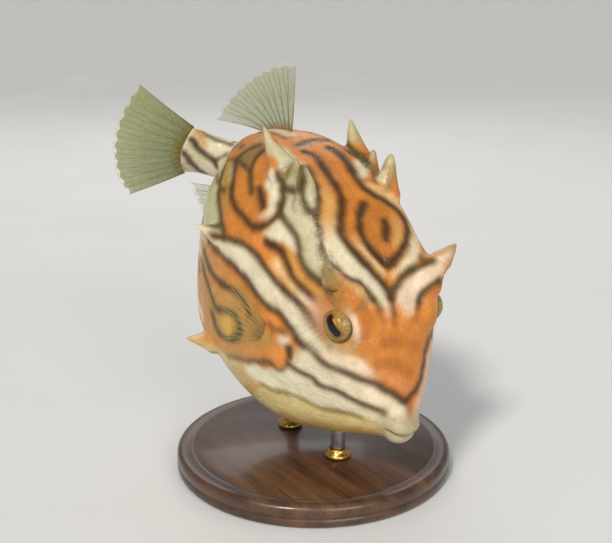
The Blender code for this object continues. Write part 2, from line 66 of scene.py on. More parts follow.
# Body profiles, from the snout back to the tail opening: station, value
TOP = [(50, -8), (47, -4.5), (43, 1), (38, 7.5), (32, 13.5), (26, 18), (18, 22.8), (8, 26.3),
       (-2, 27.6), (-12, 27.4), (-20, 26), (-28, 22.8), (-34, 18.8), (-39, 14), (-42, 9.5)]
DORSAL_Y = [(50, 3.4), (46, 5.8), (38, 10.4), (32, 13.4), (28, 14.6), (18, 14), (6, 13.1),
            (-6, 12.2), (-14, 11.2), (-22, 10.4), (-30, 9), (-38, 6.5), (-42, 4.6)]
DORSAL_Z = [(50, -9.2), (44, -2.2), (38, 5), (32, 11.5), (28, 15.7), (18, 20.8), (6, 25),
            (-6, 26.0), (-14, 25.2), (-22, 22.8), (-30, 18.6), (-38, 12.5), (-42, 8.0)]
FLANK_Y = [(50, 4.6), (46, 7.4), (40, 12.0), (32, 16.8), (22, 20.8), (10, 23.2), (0, 24),
           (-12, 23.6), (-22, 21.6), (-30, 17.8), (-37, 11.3), (-42, 5.6)]
FLANK_Z = [(50, -10.4), (46, -6.4), (40, -1.6), (32, 1.6), (22, 3), (10, 2.9), (0, 2.6),
           (-12, 2.6), (-22, 2.6), (-30, 2.8), (-36, 3), (-42, 3.2)]
VENTRAL_Y = [(50, 3.8), (46, 6.6), (40, 11.2), (32, 16.4), (22, 20.9), (10, 24), (0, 25),
             (-8, 24.2), (-18, 21.4), (-28, 16.4), (-36, 10), (-42, 4.6)]
VENTRAL_Z = [(50, -13.4), (46, -13.6), (40, -14.4), (32, -15.4), (24, -16.2), (12, -19.4),
             (2, -23.4), (-4, -25.2), (-12, -25), (-20, -21.2), (-28, -15.4), (-36, -7.2),
             (-42, -1.4)]
KEEL = [(50, -16), (46, -19), (40, -24.5), (32, -31), (22, -36.8), (10, -40.5), (0, -40.5),
        (-10, -37.2), (-20, -31), (-28, -22.6), (-36, -12), (-42, -3.5)]
SNOUT_X, REAR_X = 50.0, -42.0
# How far the plates between the ridges swell, as a share of their width: three panels and the belly
PANEL_BULGE = (0.10, 0.07, 0.05)
BELLY_BULGE = [(50, 0.16), (40, 0.22), (28, 0.26), (10, 0.22), (-6, 0.15), (-20, 0.13), (-42, 0.12)]

# Spines of one side: base, tip, radius at the base and roundness of the tip
SPINES = {
    "front_dorsal": ((4.4, -11.9, 24.6), (-0.3, -13.7, 33.3), 3.0, 1.1),
    "middle_dorsal": ((-3.2, -11.8, 25.4), (-5.0, -11.8, 31.3), 1.9, 0.8),
    "rear_dorsal": ((-9.2, -11.8, 24.8), (-19.5, -13.6, 31.2), 3.8, 0.55),
    "flank": ((-13, -22.6, 2), (-17.6, -28.0, 3.0), 3.2, 0.4),
    "ventral": ((-2.5, -23.6, -26.5), (-7.4, -29, -29.0), 3.3, 0.4),
}
# A spine's radius: its body and the flare of its foot, as shares of the base radius, the flare's
# fall, and how much and how far a cut root is drawn in
THORN_BODY, THORN_FLARE, FLARE_FALL, THORN_TAPER = 0.80, 0.18, 7, 1.15
ROOT_TUCK, ROOT_REACH = 0.25, 0.18

# Horns: the skin covers them to HORN_SKIN of their length, as a sheath a little wider than the
# bone, and the bone starts at HORN_ROOT
HORN_BASE, HORN_TIP, HORN_RADIUS, HORN_BLUNT = (27.0, -13.4, 15.2), (26.0, -19.8, 23.4), 5.3, 0.5
HORN_SKIN, HORN_ROOT, HORN_TUCK, HORN_SHEATH, HORN_TAPER = 0.50, 0.34, 0.05, 1.03, 0.92

# Eyes, their lids and orbits. The skin leaves the eye open for OPENING degrees round LID_AXIS
EYE_CENTRE, EYE_RADIUS, LID_AXIS = (30.45, -12.2, 7.95), 4.8, (0.30, -0.93, 0.15)
LID_RADIUS, LID_THICK, LID_OUT = 4.5, 0.8, 1.8
OPENING = 64.0
UNDER_EYE = 0.5
BROW_REACH, BROW_ROUNDS = 11.0, 8
ORBIT_CENTRE, ORBIT_RADII = (30.1, -11.2, 7.8), (6.5, 6.5, 5.0)
PUPIL_AXIS = (0.30, -0.88, 0.32)
CORNEA_RISE = 0.30

# Lips: centre and radii of each
LIPS = (((50.2, 0, -10.7), (2.9, 4.4, 2.4)), ((49.8, 0, -13.7), (3.0, 4.2, 2.8)))
MOUTH_Z = -12.1
NOSTRIL = (40.6, -12.3, 1.4)
GILL, GILL_RADII = (18.6, -22.4, -4.6), (0.55, 3.0, 2.7)
LINE_SINK, MOUTH_SINK, HOLE_SINK = 0.30, 1.5, 0.9

# Tail stalk: root, length, turn to the right and lean of its sections, slopes of its middle line,
# and half height, half width and roundness of its end
TAIL_ROOT, TAIL_LENGTH, TAIL_YAW, TAIL_DROP = (-42.3, 0.0, 2.4), 18.8, 1.5, 0.12
TAIL_SLOPE = (0.7, 0.45, 0.05, -0.35, -0.3)
TAIL_STEPS, TAIL_SUNK = 48, 4.0
STALK_HIGH, STALK_WIDE, STALK_THIN = 6.2, 4.8, 1.0
END_HIGH, END_ROUND, END_SKEW, END_LOW = 8.0, 2.6, 0.8, 1.6

# Fin of the tail: its direction, and in degrees and millimetres its fan and the length of its rays
CAUDAL_YAW, CAUDAL_DROP = 1.35, 0.16
CAUDAL_MIDDLE, CAUDAL_SPREAD = 10, 34
CAUDAL_LENGTH, CAUDAL_UPPER, CAUDAL_CORNERS, CAUDAL_CUP = 19.2, 1.8, 0.2, 1.5
FIN_SUNK, MARGIN_OUT = 0.2, 0.5

# Upright fins: place of the first ray, length of the foot, first ray's angle and fan in degrees,
# shortest ray, how much more the longest one has, and bend to the side at both ends
DORSAL = (-24.5, 12.0, 106, 96, 18.75, -2.5, -1, -4)
ANAL = (-31.5, 7.5, 236, -36, 10.2, 5.5, -3, -6)
MID_FIN_SUNK = 0.3

# Pectoral fin: place of its root, drop of the foot, first angle, fan, and length of its rays
PECTORAL_X, PECTORAL_Z, PECTORAL_FOOT = 16.8, -2.6, 5.2
PECTORAL_ANGLE, PECTORAL_FAN, PECTORAL_BACK, PECTORAL_OUT = 40, 84, 0.9, 0.40
PECTORAL_LENGTH, PECTORAL_ROUND = 13.4, 2.0

VOXEL, QUICK_VOXEL, SKIN_ROUNDS = 0.505, 1.7, 4


def srgb(r, g, b):
    """Linear colour from screen values 0 to 255."""
    return tuple(c / 12.92 if c < 0.04045 else ((c + 0.055) / 1.055) ** 2.4
                 for c in (r / 255, g / 255, b / 255))


CREAM = srgb(231, 222, 189)
WARM_WHITE = srgb(234, 211, 180)
# WHITE is the painted highlight on the near lid
WHITE = srgb(246, 236, 214)
PALE = srgb(204, 198, 160)
PALE_GREEN = srgb(196, 198, 156)
PINK_CREAM = srgb(230, 188, 156)
PEACH = srgb(238, 194, 132)
PEACH_TAN = srgb(216, 163, 88)
GOLD = srgb(220, 162, 74)
YELLOW = srgb(236, 178, 66)
GOLD_OLIVE = srgb(176, 138, 58)
OLIVE_TAN = srgb(124, 108, 48)
TAN = srgb(202, 146, 74)
ORANGE = srgb(206, 126, 44)
BRIGHT_ORANGE = srgb(230, 142, 60)
SALMON = srgb(222, 136, 74)
BROWN = srgb(146, 80, 22)
DARK_BROWN = srgb(62, 42, 12)
OLIVE_BROWN = srgb(84, 64, 22)
DARK_OLIVE = srgb(68, 60, 22)
GREY_OLIVE = srgb(138, 126, 76)
BELLY = srgb(222, 202, 142)
BELLY_EDGE = srgb(202, 156, 76)
BELLY_LINE = srgb(140, 120, 58)
SPINE_OLIVE = srgb(174, 162, 112)
HORN_CREAM = srgb(204, 182, 142)
HORN_OLIVE = srgb(158, 116, 36)
# Lip tone, partly the lips' own colour and partly painted shade, since they lie on the shaded side
LIP = srgb(182, 172, 136)
LIP_LINE = srgb(150, 84, 56)
PINK = srgb(206, 150, 116)
BLACK_BROWN = srgb(40, 28, 12)
EYE_RIM, EYE_DARK, PUPIL_RIM = srgb(150, 118, 74), srgb(70, 50, 22), srgb(150, 92, 36)
IRIS, IRIS_STREAK, IRIS_GOLD = srgb(184, 152, 84), srgb(122, 98, 48), srgb(190, 156, 78)
PUPIL_BLACK = srgb(6, 5, 3)
ROOT_BROWN, ROOT_OLIVE = srgb(150, 92, 44), srgb(124, 106, 44)
RAY_OLIVE, RAY_YELLOW = srgb(126, 128, 58), srgb(180, 178, 96)
WEB_OLIVE, WEB_YELLOW = srgb(112, 122, 42), srgb(146, 154, 54)


def at(points, x):
    """Smooth curve through points listed from high x to low x; x may be an array."""
    p = np.array(points, float)[::-1]
    xs, ys = p[:, 0], p[:, 1]
    slope = np.diff(ys) / np.diff(xs)
    h = np.diff(xs)
    tangent = np.empty(len(xs))
    tangent[0], tangent[-1] = slope[0], slope[-1]
    tangent[1:-1] = (h[1:] * slope[:-1] + h[:-1] * slope[1:]) / (h[1:] + h[:-1])
    x = np.clip(x, xs[0], xs[-1])
    i = np.clip(np.searchsorted(xs, x) - 1, 0, len(xs) - 2)
    t = (x - xs[i]) / h[i]
    return ((1 + 2 * t) * (1 - t) ** 2 * ys[i] + t * (1 - t) ** 2 * h[i] * tangent[i]
            + t * t * (3 - 2 * t) * ys[i + 1] + t * t * (t - 1) * h[i] * tangent[i + 1])


def half_section(x, steps):
    """Points down the fish's right side at station x, from the top line to the keel."""
    keys = [(0.0, at(TOP, x)), (-at(DORSAL_Y, x), at(DORSAL_Z, x)),
            (-at(FLANK_Y, x), at(FLANK_Z, x)), (-at(VENTRAL_Y, x), at(VENTRAL_Z, x)),
            (0.0, at(KEEL, x))]
    bulges = PANEL_BULGE + (float(at(BELLY_BULGE, x)),)
    points = []
    for k, count in enumerate(steps):
        a, b = np.array(keys[k], float), np.array(keys[k + 1], float)
        d = b - a
        out = np.array((d[1], -d[0]))
        for j in range(count):
            t = j / count
            points.append(a + d * t + out * bulges[k] * 4 * t * (1 - t))
    points.append(np.array(keys[4], float))
    return np.array(points)


def section_ring(x, steps):
    """Closed ring round the body at station x."""
    right = half_section(x, steps)
    left = right[::-1][1:-1] * (-1, 1)
    both = np.concatenate((right, left))
    return [Vector((x, p[0], p[1])) for p in both]


def on_body(x, share):
    """Point of the right side at station x, share 0 at the top line to 4 at the keel."""
    panels, steps = 4, 12
    pts = half_section(x, (steps,) * panels)
    i = min(max(share, 0), panels) * steps
    k = min(int(i), panels * steps - 1)
    p = pts[k] + (pts[k + 1] - pts[k]) * (i - k)
    return Vector((x, p[0], p[1]))


def loft(rings):
    """Closed mesh through rings of equal length, with a flat face on both ends."""
    bm = bmesh.new()
    rows = [[bm.verts.new(p) for p in r] for r in rings]
    n = len(rows[0])
    for a, b in zip(rows, rows[1:]):
        for i in range(n):
            k = (i + 1) % n
            bm.faces.new((a[i], a[k], b[k], b[i]))
    bm.faces.new(rows[0][::-1])
    bm.faces.new(rows[-1])
    bmesh.ops.recalc_face_normals(bm, faces=bm.faces)
    return bm


def mirrored(bm):
    """The same mesh, moved to the other side."""
    bmesh.ops.scale(bm, vec=(1, -1, 1), verts=bm.verts)
    bmesh.ops.reverse_faces(bm, faces=bm.faces)
    return bm


def both_sides(make):
    """The piece that make() gives, and its mirror image."""
    return [make(), mirrored(make())]


def circle(sides):
    """Angles of a closed ring of points."""
    return [2 * math.pi * k / sides for k in range(sides)]


def ball(centre, radii, axis=(0, 0, 1), segments=40, rings=24):
    """Ellipsoid, its third radius along the axis."""
    bm = bmesh.new()
    bmesh.ops.create_uvsphere(bm, u_segments=segments, v_segments=rings, radius=1.0)
    turn = Vector(axis).to_track_quat("Z", "Y").to_matrix().to_4x4()
    bm.transform(Matrix.Translation(centre) @ turn @ Matrix.Diagonal((*radii, 1.0)))
    return bm


def lid_ring(around=96, sides=20):
    """Raised rim round the eye."""
    axis = Vector(LID_AXIS).normalized()
    centre = Vector(EYE_CENTRE) + axis * LID_OUT
    turn = axis.to_track_quat("Z", "Y").to_matrix()
    bm = bmesh.new()
    rows = []
    for a in circle(around):
        row = []
        for b in circle(sides):
            out = LID_RADIUS + LID_THICK * math.cos(b)
            p = Vector((out * math.cos(a), out * math.sin(a), LID_THICK * math.sin(b)))
            row.append(bm.verts.new(centre + turn @ p))
        rows.append(row)
    for i in range(around):
        after = rows[(i + 1) % around]
        for j in range(sides):
            k = (j + 1) % sides
            bm.faces.new((rows[i][j], after[j], after[k], rows[i][k]))
    bmesh.ops.recalc_face_normals(bm, faces=bm.faces)
    return bm


def thorn(base, tip, radius, blunt, start=0.0, end=1.0, tuck=0.0, sink=3.0, sides=28, rings=28,
          taper=THORN_TAPER):
    """Spine with a flared foot that runs out into the plate it grows from.

    start and end are shares of its length; tuck draws in a cut end, and a cut root is drawn in too.
    """
    base, tip = Vector(base), Vector(tip)
    axis = tip - base
    length = axis.length
    axis.normalize()
    u = axis.cross(Vector((1, 0, 0.3))).normalized()
    v = axis.cross(u)
    spans = [start + (end - start) * i / rings for i in range(rings + 1)]
    if start == 0.0:
        spans = [-sink / length, -0.5 * sink / length] + spans
    out = []
    for t in spans:
        share = max(t, 0.0)
        r = radius * (THORN_BODY * (1 - share) ** taper + THORN_FLARE * math.exp(-share * FLARE_FALL))
        r += blunt * math.sqrt(max(0.0, 1 - share ** 6))
        r *= 1 - tuck * float(smoothstep(end - 0.05, end, share))
        if start > 0:
            r *= 1 - ROOT_TUCK * float(smoothstep(start + ROOT_REACH, start, share))
        centre = base + axis * length * t
        out.append([centre + (u * math.cos(a) + v * math.sin(a)) * max(r, 0.02)
                    for a in circle(sides)])
    return loft(out)


def direction(yaw, drop):
    """Direction to the tail, turned to the right by yaw and down by drop, in radians."""
    return Vector((-math.cos(yaw) * math.cos(drop), -math.sin(yaw) * math.cos(drop), -math.sin(drop)))


def upright(d):
    """Directions up and to the side that are square to d."""
    up = Vector((0, 0, 1))
    up -= d * up.dot(d)
    up.normalize()
    return up, d.cross(up)


def tail_line():
    """Centres and directions along the tail stalk."""
    p = Vector(TAIL_ROOT)
    out = [(p.copy(), Vector((-1, 0, 0)))]
    steps = np.linspace(0, 1, len(TAIL_SLOPE))
    for i in range(TAIL_STEPS):
        t = (i + 0.5) / TAIL_STEPS
        slope = float(np.interp(t, steps, TAIL_SLOPE))
        p = p + direction(TAIL_YAW * t, slope) * TAIL_LENGTH / TAIL_STEPS
        t = (i + 1) / TAIL_STEPS
        out.append((p.copy(), direction(TAIL_YAW * t, TAIL_DROP * t)))
    return out


TAIL = tail_line()


def end_reach(q):
    """How far the stalk's end stands out at share q of its half height, -1 to 1."""
    return END_ROUND * (1 - q * q) + END_SKEW * (1 - q)


def stalk_size(t):
    """Half height and half width of the stalk at share t of its length."""
    return STALK_HIGH + (END_HIGH - STALK_HIGH) * t * t, STALK_WIDE * (1 - t) ** 0.8 + STALK_THIN


def stalk_mesh(sides=64):
    """Tail stalk; its first ring is sunk into the carapace."""
    rings = []
    for i in range(-1, TAIL_STEPS + 1):
        p, d = TAIL[max(i, 0)]
        t = max(i, 0) / TAIL_STEPS
        if i < 0:
            p = p + Vector((TAIL_SUNK, 0, 0))
        up, side = upright(d)
        high, wide = stalk_size(t)
        row = []
        for a in circle(sides):
            q = math.sin(a)
            row.append(p + up * (high * q - END_LOW * t * t) + side * wide * math.cos(a)
                       + d * end_reach(q) * t ** 3)
        rings.append(row)
    return loft(rings)


def new_object(name, bm):
    """Object of a mesh in the scene."""
    mesh = bpy.data.meshes.new(name)
    bm.to_mesh(mesh)
    bm.free()
    obj = bpy.data.objects.new(name, mesh)
    bpy.context.scene.collection.objects.link(obj)
    return obj


def joined(name, parts):
    """One object of several meshes."""
    bm = bmesh.new()
    for part in parts:
        mesh = bpy.data.meshes.new("part")
        part.to_mesh(mesh)
        part.free()
        bm.from_mesh(mesh)
        bpy.data.meshes.remove(mesh)
    return new_object(name, bm)


def apply_modifiers(obj):
    """Replace the mesh by what its modifiers make of it."""
    bpy.context.view_layer.update()
    graph = bpy.context.evaluated_depsgraph_get()
    mesh = bpy.data.meshes.new_from_object(obj.evaluated_get(graph))
    obj.modifiers.clear()
    obj.data = mesh


def smooth_faces(obj):
    """Shade a piece without facets."""
    obj.data.polygons.foreach_set("use_smooth", [True] * len(obj.data.polygons))


def photo_camera():
    """Place, right, up and forward directions of the camera, in the room's frame, millimetres."""
    def toward(az, el):
        """Direction with an azimuth and an elevation."""
        return Vector((math.cos(el) * math.cos(az), -math.cos(el) * math.sin(az), math.sin(el)))

    place = toward(CAMERA_AZIMUTH, CAMERA_ELEVATION) * CAMERA_DISTANCE
    forward = -toward(CAMERA_AZIMUTH + CAMERA_PAN, CAMERA_ELEVATION + CAMERA_TILT)
    right = forward.cross(Vector((0, 0, 1))).normalized()
    up = right.cross(forward)
    return place, right, up, forward


EYE_AT, EYE_RIGHT, EYE_UP, EYE_AHEAD = photo_camera()
UNPITCH = Matrix.Rotation(-PITCH, 3, "Y")
VIEW_FROM = UNPITCH @ EYE_AT


def aim(px, py):
    """Direction through a pixel of the photograph, in the fish frame."""
    d = (EYE_AHEAD + EYE_RIGHT * (px - PHOTO_WIDE / 2) / PHOTO_FOCAL
         - EYE_UP * (py - PHOTO_HIGH / 2) / PHOTO_FOCAL)
    return (UNPITCH @ d).normalized()


def smooth_path(points, step):
    """Dense points on a smooth curve through a few."""
    pts = [np.array(p, float) for p in points]
    if len(pts) == 1:
        return [pts[0]]
    pts = [2 * pts[0] - pts[1]] + pts + [2 * pts[-1] - pts[-2]]
    out = []
    for i in range(1, len(pts) - 2):
        a, b, c, d = pts[i - 1:i + 3]
        n = max(1, int(np.linalg.norm(c - b) / step))
        for j in range(n):
            t = j / n
            out.append(0.5 * ((2 * b) + (c - a) * t + (2 * a - 5 * b + 4 * c - d) * t * t
                              + (3 * b - a - 3 * c + d) * t ** 3))
    out.append(pts[-2])
    return out


def body_mesh(stations, steps):
    """Head and carapace, through rings at even stations."""
    return loft([section_ring(SNOUT_X + (REAR_X - SNOUT_X) * i / (stations - 1), steps)
                 for i in range(stations)])


def build_skin():
    """One skin: carapace, head, lips, lids, spines and tail stalk melted together."""
    parts = [body_mesh(200, (20, 26, 26, 26)), stalk_mesh()]
    for base, tip, radius, blunt in SPINES.values():
        parts += both_sides(lambda: thorn(base, tip, radius, blunt))
    parts += both_sides(lambda: thorn(HORN_BASE, HORN_TIP, HORN_RADIUS * HORN_SHEATH, HORN_BLUNT,
                                      end=HORN_SKIN, tuck=HORN_TUCK, sink=4.0, taper=HORN_TAPER))
    parts += both_sides(lid_ring)
    parts += both_sides(lambda: ball(ORBIT_CENTRE, ORBIT_RADII, LID_AXIS))
    parts += [ball(centre, radii) for centre, radii in LIPS]
    skin = joined("skin", parts)
    remesh = skin.modifiers.new("remesh", "REMESH")
    remesh.mode = "VOXEL"
    remesh.voxel_size = VOXEL
    remesh.use_smooth_shade = True
    soften = skin.modifiers.new("soften", "SMOOTH")
    soften.factor = 0.5
    soften.iterations = SKIN_ROUNDS
    apply_modifiers(skin)
    smooth_brows(skin)
    return skin


def smooth_brows(skin):
    """Even out the skin round the eyes, where brow, horn and cheek run together, but not the lids."""
    bm = bmesh.new()
    bm.from_mesh(skin.data)
    axis = Vector(LID_AXIS).normalized()
    ring = Vector(EYE_CENTRE) + axis * LID_OUT
    soft = []
    for vert in bm.verts:
        p = Vector((vert.co.x, -abs(vert.co.y), vert.co.z))
        d = p - ring
        if d.length > BROW_REACH:
            continue
        height = d.dot(axis)
        from_rim = math.hypot((d - axis * height).length - LID_RADIUS, height)
        if from_rim > 2 * LID_THICK:
            soft.append(vert)
    for _ in range(BROW_ROUNDS):
        bmesh.ops.smooth_vert(bm, verts=soft, factor=0.5, use_axis_x=True, use_axis_y=True,
                              use_axis_z=True)
    bm.to_mesh(skin.data)
    bm.free()


def coords(mesh):
    """Vertex places as rows."""
    out = np.empty(len(mesh.vertices) * 3, dtype=np.float64)
    mesh.vertices.foreach_get("co", out)
    return out.reshape(-1, 3)


def normals(mesh):
    """Vertex directions outward as rows."""
    out = np.empty(len(mesh.vertices) * 3, dtype=np.float32)
    mesh.vertex_normals.foreach_get("vector", out)
    return out.reshape(-1, 3).astype(np.float64)


def face_tree(points, mesh):
    """Search tree of a mesh's faces, its vertices at the given points."""
    return BVHTree.FromPolygons([tuple(p) for p in points], [tuple(f.vertices) for f in mesh.polygons])


def smoothstep(a, b, x):
    """Smooth rise from 0 at a to 1 at b."""
    t = np.clip((x - a) / (b - a), 0, 1)
    return t * t * (3 - 2 * t)


# Longer steps of a path on the skin are gaps, where it passes from one form to another behind it
LONGEST_STEP = 4.0


def distance_to_piece(points, a, b):
    """Distance of every point to the straight piece from a to b."""
    d = b - a
    t = np.clip((points - a) @ d / max(float(d @ d), 1e-9), 0, 1)
    return np.linalg.norm(points - a - t[:, None] * d, axis=1)


def distance_to_path(points, path):
    """Distance of every point to a path of 3-D points."""
    if len(path) == 1:
        return np.linalg.norm(points - path[0], axis=1)
    best = np.full(len(points), 1e9)
    for a, b in zip(path[:-1], path[1:]):
        if np.linalg.norm(b - a) <= LONGEST_STEP:
            best = np.minimum(best, distance_to_piece(points, a, b))
    return best


def to_pixels(points):
    """Where points of the fish frame fall in the photograph."""
    turn = np.array(UNPITCH.transposed())
    room = points @ turn.T - np.array(EYE_AT)
    ahead = room @ np.array(EYE_AHEAD)
    return np.stack((PHOTO_WIDE / 2 + PHOTO_FOCAL * (room @ np.array(EYE_RIGHT)) / ahead,
                     PHOTO_HIGH / 2 - PHOTO_FOCAL * (room @ np.array(EYE_UP)) / ahead), axis=1)


def depth_in_outline(spots, outline):
    """Distance of flat spots to an outline, above 0 inside it."""
    outline = np.array(outline, float)
    after = np.roll(outline, -1, axis=0)
    inside = np.zeros(len(spots), bool)
    best = np.full(len(spots), 1e9)
    for a, b in zip(outline, after):
        best = np.minimum(best, distance_to_piece(spots, a, b))
        crosses = (a[1] > spots[:, 1]) != (b[1] > spots[:, 1])
        if a[1] != b[1]:
            at_x = a[0] + (spots[:, 1] - a[1]) * (b[0] - a[0]) / (b[1] - a[1])
            inside ^= crosses & (spots[:, 0] < at_x)
    return np.where(inside, best, -best)


# Half width of the groove along a dark line, and the photograph's pixel on the skin, millimetres
GROOVE_WIDE = 1.05
PIXEL_MM = 0.262


def waver(points, wave, reach):
    """Points moved a little along slow waves, so that painted edges wander as they do in life."""
    out = points.copy()
    for k, slant in enumerate(((1.0, 0.7, -0.5), (-0.6, 1.0, 0.8), (0.5, -0.9, 1.0))):
        phase = points @ np.array(slant) * 2 * math.pi / wave
        out[:, k] += reach * (np.sin(phase + k) + 0.6 * np.sin(2.3 * phase + points[:, k - 1] + 2 * k))
    return out


def mottle(points, wave):
    """Slow uneven variation, about -1 to 1."""
    out = np.zeros(len(points))
    for k, slant in enumerate(((0.8, 0.5, -0.3), (-0.4, 0.9, 0.2), (0.3, -0.5, 0.8))):
        phase = points @ np.array(slant) * 2 * math.pi / wave
        out += np.sin(phase + 1.7 * np.sin(0.6 * phase + 2.1 * k) + points[:, k] / wave)
    return out / 2.2


class Painter:
    """Paints soft strokes and patches on points of the fish frame.

    facing is each point's share of what the photograph shows, for patches.
    """

    def __init__(self, points, tree, ground, facing=None):
        self.points = points
        self.tree = tree
        self.colour = np.tile(np.array(ground, float), (len(points), 1))
        self.groove = np.zeros(len(points))
        self.pixels = to_pixels(points)
        self.facing = facing

    def blend(self, index, colour, weight):
        """Lay a colour on some points, by their weights."""
        self.colour[index] += (np.array(colour) - self.colour[index]) * weight[:, None]

    def patch(self, outline, colour, strength, soft, fade=None):
        """Colour what the photograph shows inside an outline of its pixels.

        fade is a pair of pixels: nothing is laid on at the first, all of it at the second.
        """
        spots = np.array(smooth_path(outline + outline[:1], 4.0)[:-1])
        low, high = spots.min(0) - soft, spots.max(0) + soft
        near = np.all((self.pixels > low) & (self.pixels < high), axis=1) & (self.facing > 0)
        index = np.nonzero(near)[0]
        depth = depth_in_outline(self.pixels[index], spots)
        w = strength * smoothstep(-soft / 2, soft / 2, depth) * self.facing[index]
        if fade:
            a, b = np.array(fade, float)
            w *= smoothstep(0, 1, (self.pixels[index] - a) @ (b - a) / ((b - a) @ (b - a)))
        self.blend(index, colour, w)

    def wash(self, weight, colour):
        """Lay a colour on every point, by its own weight."""
        self.blend(slice(None), colour, weight)

    def drop(self, pixels):
        """Pixels of the photograph, thrown onto the skin."""
        path = []
        for px, py in smooth_path(pixels, 3.0):
            hit = self.tree.ray_cast(VIEW_FROM, aim(px, py))[0]
            if hit is not None:
                path.append(np.array(hit))
        return path

    def stroke(self, path, colour, half, soft=0.5, strength=1.0, groove=0.0):
        """Colour everything within half of the path, in millimetres, with a soft edge."""
        if not path:
            return
        pts = np.array(path)
        reach = half + soft
        margin = max(reach, 2.5 * GROOVE_WIDE) if groove else reach
        low, high = pts.min(0) - margin, pts.max(0) + margin
        near = np.all((self.points > low) & (self.points < high), axis=1)
        index = np.nonzero(near)[0]
        if not len(index):
            return
        d = distance_to_path(self.points[index], pts)
        self.blend(index, colour, strength * (1 - smoothstep(max(half - soft, 0.0), reach, d)))
        if groove:
            sunk = groove * np.exp(-(d / GROOVE_WIDE) ** 2)
            self.groove[index] = np.maximum(self.groove[index], sunk)

    def streak(self, base, tip, start, end, shift, colour, half, soft, strength):
        """Stroke along a spine from start to end, shares of its length, moved aside by shift."""
        path = [np.array(base.lerp(tip, start + (end - start) * i / 12) + shift) for i in range(13)]
        self.stroke(path, colour, half, soft, strength)


